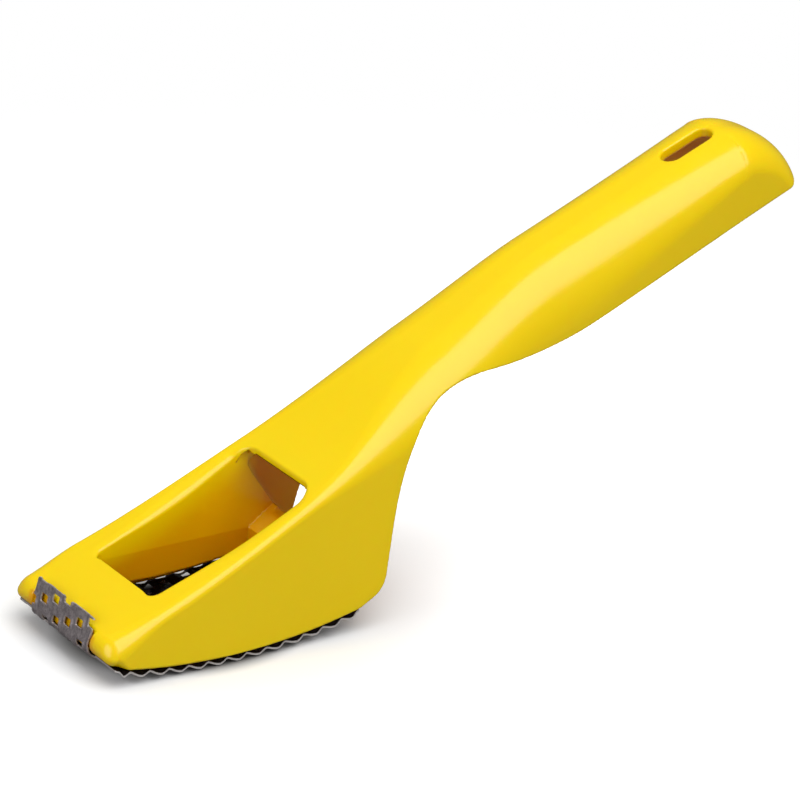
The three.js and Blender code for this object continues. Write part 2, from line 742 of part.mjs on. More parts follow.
function makeBlade() {
  const band = (from, to, width) => sideSolid(new THREE.Shape(sheetBand(from, to, 0, sheetThickness)), width / 2);
  const sheet = wasm.Manifold.union([
    band(0, plateStart + overrun, tabWidth),
    band(plateStart, plateEnd, bladeWidth),
    band(plateEnd - overrun, sheetLength, lipWidth),
  ]);
  const teeth = latticePoints().map(([distance, across]) => ({
    frame: toothFrame(distance, across),
    rise: toothRise(distance),
  }));
  const zone = (from, to, width) => {
    const outline = sheetBand(from, to, -toothHeight - overrun, sheetThickness + overrun / 2);
    return sideSolid(new THREE.Shape(outline), width / 2);
  };
  const trim = zone(0, plateStart + overrun, tabWidth).add(zone(plateStart, plateEnd, bladeWidth));
  const edges = edgePoints().map(([distance, across]) => toothFrame(distance, across));
  const ridges = edges.map((frame) => edgeRidge(frame, 0));
  const hollows = edges.map((frame) => edgeRidge(frame, sheetThickness));
  const raised = wasm.Manifold.union([...teeth.map(toothWedge), ...ridges]).intersect(trim);
  const cuts = wasm.Manifold.union([...teeth.map(toothHole), ...hollows]);
  return sheet.add(raised).subtract(cuts);
}

const plastic = new THREE.MeshStandardMaterial({ color: 0xf6d200, roughness: 0.25, metalness: 0 });
const steel = new THREE.MeshStandardMaterial({ color: 0x77736f, roughness: 0.4, metalness: 1 });

function namedMesh(name, solid, material) {
  const mesh = new THREE.Mesh(geometryOf(solid), material);
  mesh.name = name;
  return mesh;
}

const tool = new THREE.Group();
tool.add(namedMesh('body', makeBody(), plastic));
tool.add(namedMesh('blade', makeBlade(), steel));

// The origin goes to the middle of the whole tool's box, at its lowest level
const box = new THREE.Box3().setFromObject(tool, true);
const middle = box.getCenter(new THREE.Vector3());
tool.position.set(-middle.x, -middle.y, -box.min.z);

const raspPlane = new THREE.Group();
raspPlane.add(tool);
raspPlane.updateMatrixWorld(true);

export default raspPlane;
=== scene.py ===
# %% [markdown]
# # Rasp plane in Blender
# This script makes the finished look of a small rasp plane: a one-piece moulded plastic body and a
# pierced steel blade. Both stand in the same frame as the CAD model, with X along the tool, Y across it
# and Z up. Shapes are worked out in millimetres in the part's own frame, and moved by SHIFT into place.

# %% Load the fixed frame
import json
import math
import bpy
import numpy as np
from mathutils import Matrix, Vector

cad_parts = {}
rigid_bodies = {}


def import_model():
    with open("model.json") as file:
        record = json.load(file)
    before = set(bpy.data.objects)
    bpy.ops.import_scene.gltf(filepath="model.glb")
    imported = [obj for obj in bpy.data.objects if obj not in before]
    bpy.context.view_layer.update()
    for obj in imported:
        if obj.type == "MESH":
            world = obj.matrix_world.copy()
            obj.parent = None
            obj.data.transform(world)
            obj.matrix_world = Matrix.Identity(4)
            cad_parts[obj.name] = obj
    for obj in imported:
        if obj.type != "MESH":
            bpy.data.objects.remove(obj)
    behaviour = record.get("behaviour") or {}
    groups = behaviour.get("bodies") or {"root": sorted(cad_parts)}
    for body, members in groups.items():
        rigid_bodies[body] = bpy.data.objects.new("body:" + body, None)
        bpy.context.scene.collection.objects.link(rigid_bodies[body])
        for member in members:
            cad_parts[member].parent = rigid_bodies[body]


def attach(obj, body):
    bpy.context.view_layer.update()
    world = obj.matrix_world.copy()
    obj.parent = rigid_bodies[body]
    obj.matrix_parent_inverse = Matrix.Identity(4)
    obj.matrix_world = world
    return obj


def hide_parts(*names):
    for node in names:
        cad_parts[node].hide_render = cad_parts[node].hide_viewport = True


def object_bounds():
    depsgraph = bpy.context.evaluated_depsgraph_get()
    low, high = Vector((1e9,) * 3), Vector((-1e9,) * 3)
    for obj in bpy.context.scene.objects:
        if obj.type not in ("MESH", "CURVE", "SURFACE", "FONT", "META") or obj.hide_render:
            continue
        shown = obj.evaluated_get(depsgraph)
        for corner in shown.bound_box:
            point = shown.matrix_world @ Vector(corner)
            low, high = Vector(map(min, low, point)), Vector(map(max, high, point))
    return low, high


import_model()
cad_low, cad_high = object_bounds()
MM = 0.001
print("CAD box in mm:", [round(x / MM, 2) for x in (*cad_low, *cad_high)])

# %% [markdown]
# ## Camera
# The photograph looks down on the near side of the tool from the front. The viewing angle, the distance and
# the lens could be tried by eye; here they come from a fit of the tool's straight edges, so that the render
# and the photograph can be laid over each other. The lens is long, because the far end is hardly smaller.

# %% Place the camera
SHIFT = np.array([-90.39685, 0.0, 2.03755])
AZIMUTH, ELEVATION, CAMERA_ROLL = math.radians(-35.917), math.radians(23.101), math.radians(3.959)
CAMERA_PLACE = Vector((-451.85, -739.49, 430.82)) * MM + Vector(SHIFT) * MM
LENS_MM, SENSOR_MM = 200.8, 36.0


def camera_turn(azimuth, elevation, roll):
    """Rotation whose back axis is (sin a cos e, -cos a cos e, sin e), rolled about the line of sight."""
    flat = math.cos(elevation)
    back = Vector((math.sin(azimuth) * flat, -math.cos(azimuth) * flat, math.sin(elevation)))
    level = Vector((math.cos(azimuth), math.sin(azimuth), 0.0))
    above = back.cross(level)
    right = math.cos(roll) * level + math.sin(roll) * above
    up = back.cross(right)
    return Matrix((right, up, back)).transposed()


camera_data = bpy.data.cameras.new("camera")
camera_data.lens, camera_data.sensor_width = LENS_MM, SENSOR_MM
camera_data.clip_start, camera_data.clip_end = 0.01, 20.0
camera = bpy.data.objects.new("camera", camera_data)
camera.matrix_world = Matrix.Translation(CAMERA_PLACE) @ camera_turn(AZIMUTH, ELEVATION, CAMERA_ROLL).to_4x4()
bpy.context.scene.collection.objects.link(camera)
bpy.context.scene.camera = camera
print("camera at mm:", [round(x / MM, 1) for x in camera.location])

# %% [markdown]
# ## Shapes worked out as fields
# The real body is one injection moulding: every edge is softly rounded, and the thin walls meet inside.
# A loft alone can't round the edges where the well, the hollow handle and the nose recess meet, so the
# body is made another way. Numpy works out a whole array of signed depths, negative inside the plastic.
# Forms are joined with a rounded "both" or "cut", so each moulded edge gets its own radius. The surface
# is then found on a grid of cells and drawn onto the exact place, where the depth is zero.

# %% Define curves along the tool
def smooth_line(knots, x):
    """Cubic through knots of (place, value, slope): it meets each value and slope, and runs on straight beyond."""
    place, value, slope = (np.array(column, float) for column in zip(*knots))
    k = np.clip(np.searchsorted(place, x, side="right") - 1, 0, len(place) - 2)
    run = place[k + 1] - place[k]
    t = (x - place[k]) / run
    rise, leave, arrive = 3 * t**2 - 2 * t**3, t * (1 - t) ** 2, t**2 * (t - 1)
    inner = value[k] + (value[k + 1] - value[k]) * rise + run * (slope[k] * leave + slope[k + 1] * arrive)
    before = value[0] + slope[0] * (x - place[0])
    after = value[-1] + slope[-1] * (x - place[-1])
    return np.where(x < place[0], before, np.where(x > place[-1], after, inner))


def smooth_step(x, start, end):
    """0 before start and 1 after end, with 3t^2 - 2t^3 between them."""
    t = np.clip((x - start) / (end - start), 0, 1)
    return t * t * (3 - 2 * t)


def slope_of(degrees):
    """Rise per unit of length of a line at this angle."""
    return math.tan(math.radians(degrees))


# %% Define how forms are joined
TINY = 1e-9


def both(a, b, radius=0.4):
    """Inside both forms, with an arc at the edge: min(max(a, b), -r) + length of (a + r, b + r) where positive."""
    return np.minimum(np.maximum(a, b), -radius) + np.hypot(np.maximum(a + radius, 0), np.maximum(b + radius, 0))


def oval(a, b, deep_a, deep_b):
    """Inside both forms, with a quarter ellipse at the edge: its reach from the centre, scaled back to a length."""
    u, v = np.maximum(a / deep_a + 1, 0), np.maximum(b / deep_b + 1, 0)
    reach = np.hypot(u, v)
    steep = np.maximum(np.hypot(u / deep_a, v / deep_b), TINY)
    return np.where(reach > 1e-6, (reach - 1) * reach / steep, np.maximum(a, b))


def cut(a, b, radius=0.4):
    """The first form with the second taken out of it, and a rounded edge between them."""
    return both(a, -b, radius)


# %% Define the surface finder
def surface_cells(depth, axes):
    """One point per crossed grid cell, at the mean of its edges' crossings, and one quad per crossed grid edge."""
    inside, unit = depth < 0, np.eye(3, dtype=int)
    shape = tuple(n - 1 for n in depth.shape)
    corners = [(i, j, k) for i in (0, 1) for j in (0, 1) for k in (0, 1)]
    count = sum(inside[i:i + shape[0], j:j + shape[1], k:k + shape[2]].astype(np.uint8) for i, j, k in corners)
    crossed = (count > 0) & (count < 8)
    index = np.full(shape, -1, np.int64)
    index[crossed] = np.arange(crossed.sum())
    cell = np.array(np.nonzero(crossed))
    total, number = np.zeros((cell.shape[1], 3)), np.zeros(cell.shape[1])
    for start in corners:
        for axis in [n for n in range(3) if not start[n]]:
            near = cell + np.array(start)[:, None]
            far = near + unit[axis][:, None]
            a, b = depth[tuple(near)], depth[tuple(far)]
            crosses = (a < 0) != (b < 0)
            share = np.where(crosses, a / np.where(crosses, a - b, 1), 0)
            p = np.stack([axes[n][near[n]] for n in range(3)], 1)
            q = np.stack([axes[n][far[n]] for n in range(3)], 1)
            total += np.where(crosses[:, None], p + (q - p) * share[:, None], 0)
            number += crosses
    quads = []
    for axis in range(3):
        u, v = (axis + 1) % 3, (axis + 2) % 3
        inner = [slice(None)] * 3
        inner[u] = inner[v] = slice(1, -1)
        change = np.zeros(tuple(n - (i == axis) for i, n in enumerate(depth.shape)), bool)
        change[tuple(inner)] = np.diff(inside, axis=axis)[tuple(inner)]
        edge = np.array(np.nonzero(change))
        turns = [(1, 1), (0, 1), (0, 0), (1, 0)]
        places = [edge - du * unit[u][:, None] - dv * unit[v][:, None] for du, dv in turns]
        quad = np.stack([index[tuple(p)] for p in places], 1)
        leaving = inside[tuple(edge)]
        quads.append(np.where(leaving[:, None], quad, quad[:, ::-1]))
    return total / number[:, None], np.concatenate(quads)


# %% Define how points reach the surface
def depth_near(field, axes, skip=3, near=1.7):
    """The field on the whole grid: first on every third place, and then on all places close to the surface."""
    rough = field(axes[0][::skip, None, None], axes[1][None, ::skip, None], axes[2][None, None, ::skip])
    nearest = [np.minimum((np.arange(len(a)) + skip // 2) // skip, n - 1) for a, n in zip(axes, rough.shape)]
    depth = rough[np.ix_(*nearest)]
    close = np.nonzero(np.abs(depth) < near)
    depth[close] = field(*(a[i] for a, i in zip(axes, close)))
    return depth


def steepest(field, points, reach=0.02):
    """Gradient of the depth at each point, from the difference across it along the three axes."""
    sides = []
    for axis in range(3):
        step = np.zeros(3)
        step[axis] = reach
        sides.append((field(*(points + step).T) - field(*(points - step).T)) / (2 * reach))
    return np.stack(sides, 1)


def draw_on(field, points, rounds, most=0.25):
    """Each point moved against the gradient by depth over steepness, to where the depth is 0, in limited steps."""
    for _ in range(rounds):
        slope = steepest(field, points)
        move = -(field(*points.T) / np.maximum((slope**2).sum(1), 0.1))[:, None] * slope
        points = points + move * np.minimum(1, most / np.maximum(np.linalg.norm(move, axis=1, keepdims=True), TINY))
    return points


# %% Define how meshes are made
def mesh_piece(name, points, faces, normals):
    """A mesh object of points in millimetres in the part's own frame, with its own surface normals."""
    mesh = bpy.data.meshes.new(name)
    mesh.vertices.add(len(points))
    mesh.vertices.foreach_set("co", ((points + SHIFT) * MM).astype(np.float32).ravel())
    mesh.loops.add(faces.size)
    mesh.loops.foreach_set("vertex_index", faces.astype(np.int32).ravel())
    mesh.polygons.add(len(faces))
    mesh.polygons.foreach_set("loop_start", np.arange(0, faces.size, faces.shape[1], dtype=np.int32))
    mesh.update()
    mesh.validate()
    if normals is not None:
        mesh.polygons.foreach_set("use_smooth", np.ones(len(mesh.polygons), bool))
        mesh.normals_split_custom_set_from_vertices(normals / np.linalg.norm(normals, axis=1, keepdims=True))
    piece = bpy.data.objects.new(name, mesh)
    bpy.context.scene.collection.objects.link(piece)
    return piece


def thinned(name, points, faces, share):
    """The same surface with fewer points where it is flat, by Blender's own collapse of short edges."""
    draft = mesh_piece(name + "_draft", points, faces, None)
    draft.modifiers.new("fewer", "DECIMATE").ratio = share
    ready = draft.evaluated_get(bpy.context.evaluated_depsgraph_get()).to_mesh()
    kept = np.empty(len(ready.vertices) * 3)
    ready.vertices.foreach_get("co", kept)
    ready.calc_loop_triangles()
    corners = np.empty(len(ready.loop_triangles) * 3, np.int32)
    ready.loop_triangles.foreach_get("vertices", corners)
    mesh = draft.data
    bpy.data.objects.remove(draft)
    bpy.data.meshes.remove(mesh)
    return kept.reshape(-1, 3) / MM - SHIFT, corners.reshape(-1, 3)


# %% [markdown]
# ## Body
# One piece of moulded yellow plastic. In profile it is a long wedge: a shallow arched sole, a deck that
# climbs at 20 degrees, then a neck that sweeps up to a nearly straight grip. A tapered well opens through
# the deck over the blade, the grip is a channel open below, and a slot near its end hangs the tool up.
# Its main numbers are those of the CAD model. Added are the radii of the edges, the worn crest, a rounder
# shoulder at the neck and thicker cheeks beside the well. Lengths are in mm, slopes are rise per length.

# %% Define the body's numbers
SOLE_RADIUS, SOLE_LOW, SOLE_LENGTH, BODY_WIDTH, NOSE_REACH = 150.0, 28.5, 61.7, 42.4, 2.35
DECK_HEIGHT, DECK_SLOPE, WINDOW_FRONT, WINDOW_REAR = 8.75, slope_of(20.4), 13.0, 52.6
BRIDGE_HEIGHT, BRIDGE_SLOPE, LIP, WALL = 31.8, slope_of(28.2), 0.6, 2.8
BACK_PLACE, BACK_HEIGHT, BACK_SLOPE = 68.5, 8.6, slope_of(79.7)
NECK_PLACE, GRIP_START, GRIP_END, GRIP_SLOPE, GRIP_DEPTH = 88.0, 118.0, 184.5, slope_of(22.6), 18.7
SIDE_LEAN, GRIP_LEAN = 0.12, 0.05
END_ROUND, END_DROP, END_FULLNESS, END_CORNER, END_TOE = 17.8, 17.6, 1.4, 1.4, 5.8
SETTLE, SETTLE_START, SETTLE_END = 0.24, 160, 174


# %% Define the body's curves
def sole_height(x):
    """Arc of the sole: r - sqrt(r^2 - (x - low point)^2)."""
    return SOLE_RADIUS - np.sqrt(SOLE_RADIUS**2 - (x - SOLE_LOW) ** 2)


def head_half(z):
    """Half width of the head under a crown at height z; the sides lean in as they rise."""
    return BODY_WIDTH / 2 - SIDE_LEAN * (z - sole_height(0.0))


# Knots of (place, value, slope)
CROWN = [
    (0, DECK_HEIGHT, DECK_SLOPE), (WINDOW_FRONT, DECK_HEIGHT + DECK_SLOPE * WINDOW_FRONT, DECK_SLOPE),
    (WINDOW_REAR, BRIDGE_HEIGHT, BRIDGE_SLOPE), (NECK_PLACE, 56.6, slope_of(28.7)), (GRIP_START, 73.5, GRIP_SLOPE),
]
SHOULDER = [
    (0, head_half(DECK_HEIGHT), -SIDE_LEAN * DECK_SLOPE),
    (WINDOW_REAR, head_half(BRIDGE_HEIGHT), -SIDE_LEAN * BRIDGE_SLOPE),
    (NECK_PLACE, 15.15, -slope_of(3.9)), (GRIP_START, 13.8, 0), (GRIP_END, 13.2, 0),
]
LEAN = [(BACK_PLACE, SIDE_LEAN, 0), (GRIP_START, GRIP_LEAN, 0), (GRIP_END, 0, 0)]
HEAD_EDGE = [(0, 4.4, 0), (WINDOW_FRONT, 2.0, 0), (WINDOW_REAR, 2.4, 0.1)]
EDGE_ACROSS = HEAD_EDGE + [(NECK_PLACE, 11.6, 0), (GRIP_START, 11.5, 0), (GRIP_END, 11.6, 0)]
EDGE_DOWN = HEAD_EDGE + [(NECK_PLACE, 10.8, 0), (GRIP_START, 15.0, 0), (GRIP_END, 7.0, 0)]
ROOF = [(WINDOW_REAR, LIP, 0), (WINDOW_REAR + 10, WALL, 0)]
RIM_ROLL = [(15, 0.25, 0), (36, 0.75, 0), (WINDOW_REAR - 5, 0.6, 0), (WINDOW_REAR, 0.0, 0)]
FINE_X = np.arange(-8, 192, 0.05)


def kept_curve(knots, ends_flat=False):
    """The curve worked out once on a fine row of places, for quick reading at any x."""
    reach = np.clip(FINE_X, knots[0][0], knots[-1][0]) if ends_flat else FINE_X
    row = smooth_line(knots, reach)
    return lambda x: np.interp(x, FINE_X, row)


crown, shoulder, lean = kept_curve(CROWN), kept_curve(SHOULDER), kept_curve(LEAN)
edge_across, edge_down = kept_curve(EDGE_ACROSS), kept_curve(EDGE_DOWN)
roof_wall, roll_growth = kept_curve(ROOF, True), kept_curve(RIM_ROLL, True)
print("crown in mm at the nose, the well, the neck and the grip:", crown(np.array([0, 30, 88, 150])).round(1))


# %% [markdown]
# ## The lower edge
# Seen from the side, the body ends below in one long line: the arched sole, a short bevel at the heel, the
# nearly upright back of the head, the hollow of the neck and the swell under the hand. It could be drawn as
# one free curve. Arcs and one cubic are used, as the mould maker would, because each has a real radius.

# %% Define arcs and cubics
def bezier(points, count):
    """Cubic curve of four points, weighted (1-t)^3, 3t(1-t)^2, 3t^2(1-t) and t^3."""
    t = np.linspace(0, 1, count)[:, None]
    a, b, c, d = (np.array(p, float) for p in points)
    return a * (1 - t) ** 3 + 3 * b * t * (1 - t) ** 2 + 3 * c * t**2 * (1 - t) + d * t**3


def rounded(before, corner, after, radius, count):
    """Arc that touches both sides of a corner; its centre is on the bisector, radius / sin(half angle) away."""
    before, corner, after = (np.array(p, float) for p in (before, corner, after))
    arriving, leaving = ((p - corner) / np.linalg.norm(p - corner) for p in (before, after))
    half = math.acos(np.clip(arriving @ leaving, -1, 1)) / 2
    middle = (arriving + leaving) / np.linalg.norm(arriving + leaving)
    centre = corner + middle * radius / math.sin(half)
    start = corner + arriving * radius / math.tan(half) - centre
    turn = (math.pi - 2 * half) * -np.sign(arriving[0] * leaving[1] - arriving[1] * leaving[0])
    angle = math.atan2(start[1], start[0]) + turn * np.linspace(0, 1, count)
    return centre + radius * np.stack([np.cos(angle), np.sin(angle)], 1)


# %% Define the lower edge
HEEL_BEVEL, HEEL_RADIUS = (3.95, 2.0), 6.8
THROAT_HEIGHT, THROAT_PULL = 20.5, 24.0
SWELL, SWELL_SLOPE, SWELL_PULL, SWELL_END = (98.0, 51.8), 0.078, 13.9, 126.0


def lower_edge():
    """The sole's arc, the heel, the hollow of the neck, the swell under the hand and the grip's end, in x and z."""
    bevel_slope = HEEL_BEVEL[1] / HEEL_BEVEL[0]
    sole_end = np.array([SOLE_LENGTH, sole_height(SOLE_LENGTH)])
    rise = BACK_HEIGHT - BACK_SLOPE * BACK_PLACE - sole_end[1] + bevel_slope * SOLE_LENGTH
    heel_x = rise / (bevel_slope - BACK_SLOPE)
    heel = [heel_x, sole_end[1] + bevel_slope * (heel_x - SOLE_LENGTH)]
    throat = np.array([BACK_PLACE + (THROAT_HEIGHT - BACK_HEIGHT) / BACK_SLOPE, THROAT_HEIGHT])
    swell = np.array(SWELL)
    along = np.array([1, SWELL_SLOPE]) / math.hypot(1, SWELL_SLOPE)
    up = np.array([math.cos(math.atan(BACK_SLOPE)), math.sin(math.atan(BACK_SLOPE))])
    low = smooth_line(CROWN, np.array([SWELL_END, GRIP_END])) - GRIP_DEPTH
    sole_x, grip_x = np.linspace(-20, SOLE_LENGTH, 60), np.linspace(SWELL[0], SWELL_END, 16)[1:]
    toe = np.array([GRIP_END, low[1]])
    under_hand = [(SWELL[0], SWELL[1], SWELL_SLOPE), (SWELL_END, low[0], GRIP_SLOPE)]
    return np.concatenate([
        np.stack([sole_x, sole_height(sole_x)], 1),
        rounded(sole_end + HEEL_BEVEL, heel, throat, HEEL_RADIUS, 20),
        bezier([throat, throat + up * THROAT_PULL, swell - along * SWELL_PULL, swell], 50),
        np.stack([grip_x, smooth_line(under_hand, grip_x)], 1),
        rounded([SWELL_END, low[0]], toe, toe + [0, 20], END_TOE, 16),
        [toe + [0, 60]],
    ])


# %% Define the depth below the lower edge
def line_depth(line, x, z):
    """Distance to a line of straight parts, negative on its left: the nearest part gives distance and side."""
    best, sign = np.full(x.shape, 1e9), np.ones(x.shape)
    for (ax, az), (bx, bz) in zip(line[:-1], line[1:]):
        dx, dz = bx - ax, bz - az
        share = np.clip(((x - ax) * dx + (z - az) * dz) / (dx * dx + dz * dz), 0, 1)
        rx, rz = x - ax - share * dx, z - az - share * dz
        distance = np.hypot(rx, rz)
        nearer = distance < best - TINY
        sign = np.where(nearer, np.where(dx * rz - dz * rx > 0, -1.0, 1.0), sign)
        best = np.where(nearer, distance, best)
    return best * sign


TABLE_START, TABLE_STEP = -8, 0.5
table_x, table_z = np.arange(TABLE_START, 192, TABLE_STEP), np.arange(TABLE_START, 104, TABLE_STEP)
TABLE = line_depth(lower_edge(), *np.meshgrid(table_x, table_z, indexing="ij"))
print("table of depths below the lower edge:", TABLE.shape, "places,", TABLE_STEP, "mm apart")


def under(x, z):
    """Distance below the tool's lower edge, read from the table with a blend of the four nearest places."""
    u = np.clip((x - TABLE_START) / TABLE_STEP, 0, len(table_x) - 1.01)
    v = np.clip((z - TABLE_START) / TABLE_STEP, 0, len(table_z) - 1.01)
    i, j = u.astype(int), v.astype(int)
    s, t = u - i, v - j
    low = TABLE[i, j] * (1 - s) + TABLE[i + 1, j] * s
    return low * (1 - t) + (TABLE[i, j + 1] * (1 - s) + TABLE[i + 1, j + 1] * s) * t


# %% [markdown]
# ## The outer form
# The skin of the body is a crown line in the side view and a half width seen from above, with sides that
# lean in a little so that the moulding leaves its mould. The edge between them is an ellipse that grows from
# a small radius on the head to a round back on the grip. Sweeping one profile could not grow it so freely.

# %% Define the outer form
CHIN_RADIUS, CHIN_FADE = 2.3, 3.0
NOSE_EDGE, NOSE_EDGE_MORE, LUG_EDGE_MORE = 0.45, 1.55, 1.2


def top_form(x, y, z, inset=0.0, roof=0.0):
    """Depth under the crown and inside the leaning sides, joined by the elliptic shoulder, to the rounded end."""
    def fall(at):
        share = np.clip((at - GRIP_END + END_ROUND) / (END_ROUND - inset), 0, 1)
        settle = SETTLE * smooth_step(at, SETTLE_START, SETTLE_END)
        return END_DROP * (1 - (1 - share**END_FULLNESS) ** (1 / END_FULLNESS)) + settle
    steep = (crown(x + 0.1) - crown(x - 0.1)) / 0.2 - (fall(x + 0.001) - fall(x)) / 0.001
    top = (z - crown(x) + fall(x)) / np.hypot(1, steep) + roof
    side = (np.abs(y) - shoulder(x) - lean(x) * (crown(x) - z)) / np.hypot(1, lean(x)) + inset
    form = oval(top, side, np.maximum(edge_down(x) - inset, 0.4), np.maximum(edge_across(x) - inset, 0.4))
    return both(form, x - GRIP_END + inset, END_CORNER)


def head_form(x, y, z, low):
    """The top form above the lower edge and behind the nose, with a rounded chin and softer corners in front."""
    front = 1 - smooth_step(x, 0.0, CHIN_FADE)
    chin = both(-NOSE_REACH - x, low, CHIN_RADIUS)
    at_lugs = smooth_step(np.abs(y), 14, 20)
    return both(top_form(x, y, z), chin, NOSE_EDGE + front * (NOSE_EDGE_MORE + LUG_EDGE_MORE * at_lugs))


# %% [markdown]
# ## The hollows
# The moulding is thin all over. The well goes through the deck to the blade, the channel makes the neck and
# the grip hollow, and a core between the outer walls and the well's skirt lightens the head. Cross walls of
# plain thickness could be added one by one, but taking these hollows out of the full form is how the mould
# itself works, and it keeps every wall whole.

# %% Define the seats of the blade
TAB_LEAN = math.radians(14)
TAB_TAN, TAB_COS, TAB_SIN = math.tan(TAB_LEAN), math.cos(TAB_LEAN), math.sin(TAB_LEAN)
SHEET, SEAT, TAB_HALF, TAB_BEND, LIP_BEND = 0.55, 0.3, 11.8, 2.5, 1.9


def bend_centre(x, radius):
    """Centre of a bend inside the blade's arc: the arc's radius less the bend's away from the arc's centre."""
    reach = SOLE_RADIUS + SEAT + SHEET - radius
    heading = math.asin((x - SOLE_LOW) / reach)
    return SOLE_LOW + reach * math.sin(heading), SOLE_RADIUS - reach * math.cos(heading), heading


FRONT_X, FRONT_Z, FRONT_HEADING = bend_centre(0.0, TAB_BEND)
REAR_X, REAR_Z, REAR_HEADING = bend_centre(SOLE_LENGTH, LIP_BEND)
HOOK_RADIUS, SEAT_RADIUS = LIP_BEND - SHEET - SEAT, TAB_BEND - SHEET - SEAT
HOOK_X, HOOK_Z = REAR_X + HOOK_RADIUS * TAB_COS, REAR_Z - HOOK_RADIUS * TAB_SIN
print("blade bends at x in mm:", round(FRONT_X, 2), "and", round(REAR_X, 2))

# %% Define the hollows
WELL_HALF, RAIL, WELL_DRAFT, WELL_FRONT_RADIUS, WELL_REAR_RADIUS = 11.9, 11.6, slope_of(4.5), 2.2, 4.0
CROSS_WALL, CROSS_TOP, CREST, BROW_DROP = 53.1, 10.5, (59.7, 16.2), 4.6
BROW = (WINDOW_REAR, BRIDGE_HEIGHT - LIP * math.hypot(1, BRIDGE_SLOPE) - BROW_DROP)
CHANNEL_RADIUS, GATE_RADIUS, CHEEK, CHEEK_START, CHEEK_END = 1.8, 1.5, 3.6, 58, 70
CHAMBER_START, CHAMBER_GAP, LIP_MORE, LIP_MORE_REACH = 40, 2, 2.4, 4.6
SKIRT_WALL, SKIRT_GAP, SKIRT_CORNER, SKIRT_FOOT = 1.8, 4.4, 4.0, 0.6
NOSE_WALL, CORE_GAP, CORE_RADIUS = 3.2, 1, 0.8


def beside(x, z, a, b):
    """Distance to the right of the line from a to b in the side view: their cross product over the length."""
    (ax, az), (bx, bz) = a, b
    return ((bz - az) * (x - ax) - (bx - ax) * (z - az)) / math.hypot(bx - ax, bz - az)


def handle_channel(x, y, z, draft, before_wall):
    """The hollow of the neck and the grip: a wall's thickness inside the top form, and behind the head's walls."""
    before_crest = -beside(x, z, (HOOK_X + (CROSS_TOP - HOOK_Z) * TAB_TAN, CROSS_TOP), CREST)
    gate = np.maximum(both(WINDOW_REAR - x, before_wall, GATE_RADIUS), before_crest)
    gate = np.minimum(gate, (HOOK_X + (z - HOOK_Z) * TAB_TAN - x) * TAB_COS)
    cheek = CHEEK * smooth_step(draft, -0.6, 0.6) * (1 - smooth_step(x, CHEEK_START, CHEEK_END))
    return both(top_form(x, y, z, WALL, roof_wall(x) + cheek), gate, CHANNEL_RADIUS)


def blade_well(x, z, draft, before_wall):
    """The window through the deck, and the chamber that reaches back under its rear lip to the slanting wall."""
    window = both(both(draft, WINDOW_FRONT - x, WELL_FRONT_RADIUS), x - WINDOW_REAR, WELL_REAR_RADIUS)
    floor = np.minimum(x - CROSS_WALL, beside(x, z, (CROSS_WALL, RAIL), CREST))
    more = LIP_MORE * smooth_step(WINDOW_REAR - x, 0, LIP_MORE_REACH)
    below_lip = (z - crown(x)) / math.hypot(1, BRIDGE_SLOPE) + LIP + more
    behind = np.maximum(np.maximum(floor, -before_wall - CHAMBER_GAP), CHAMBER_START - x)
    return np.minimum(window, np.maximum(np.maximum(draft, below_lip), behind))


def head_core(x, y, z, draft, low):
    """The hollow of the head, a wall's thickness inside it, less the skirt that stands round the well."""
    core = both(top_form(x, y, z, WALL, WALL), (NOSE_WALL + z * TAB_TAN - x) * TAB_COS, CORE_RADIUS)
    core = both(core, x - CROSS_WALL + CORE_GAP, CORE_RADIUS)
    skirt = both(draft - SKIRT_WALL, WINDOW_FRONT - SKIRT_WALL - x, SKIRT_CORNER)
    return both(core, -np.maximum(skirt, low + SKIRT_GAP), SKIRT_FOOT)


# %% Define the small cuts
NOTCH_HALF, NOTCH_LOW, NOTCH_HIGH, NOTCH_FRONT, NOTCH_REAR = 10.2, 15.0, 25, 54, 66
SLOT_FROM_END, SLOT_HALF, SLOT_RADIUS, SLOT_DEPTH, RECESS_GAP = 25.65, 4.2, 2.7, 8, 0.4


def crest_notch(x, z, wide):
    """The notch worn into the crest behind the well: a box with its two long lower edges rounded."""
    ends = np.maximum(z - NOTCH_HIGH, np.maximum(NOTCH_FRONT - x, x - NOTCH_REAR))
    return both(both(wide - NOTCH_HALF, NOTCH_LOW - z, 0.5), ends, 0.3)


def tab_recess(x, z, wide, low):
    """The recess between the nose's two lugs, outside the plane and the bend that the blade's tab lies on."""
    in_front = -(x - FRONT_X) * TAB_COS + (z - FRONT_Z) * TAB_SIN - SEAT_RADIUS
    return both(wide - TAB_HALF - RECESS_GAP, -both(in_front, low, SEAT_RADIUS), 0.3)


def hanging_slot(x, y, z):
    """A slot square to the crown: within a radius of a short straight line along the grip."""
    place, turn = GRIP_END - SLOT_FROM_END, math.atan(GRIP_SLOPE)
    along = (x - place) * math.cos(turn) + (z - crown(place)) * math.sin(turn)
    deep = (z - crown(place)) * math.cos(turn) - (x - place) * math.sin(turn)
    ends = np.maximum(np.abs(along) - SLOT_HALF, 0)
    return np.maximum(np.hypot(ends, y) - SLOT_RADIUS, np.abs(deep) - SLOT_DEPTH)


# %% [markdown]
# ## The whole body as one field
# The hollows are taken out of the head's form one after the other, each with the edge radius that the mould
# leaves there. Only the long rims of the well are more: on the real tool they roll over softly into the
# window, so their edge is a quarter ellipse that grows along the window and fades out below the deck.

# %% Define the body's field
CHANNEL_EDGE, CORE_EDGE, NOTCH_EDGE, RECESS_EDGE, SLOT_EDGE = 0.25, 0.3, 0.4, 0.45, 0.7
RIM_EDGE, RIM_DOWN, RIM_ACROSS = 0.3, 2.1, 4.3
RIM_LOW, RIM_HIGH, RIM_INNER, RIM_OUTER = -8, -4.5, 8, 11.5


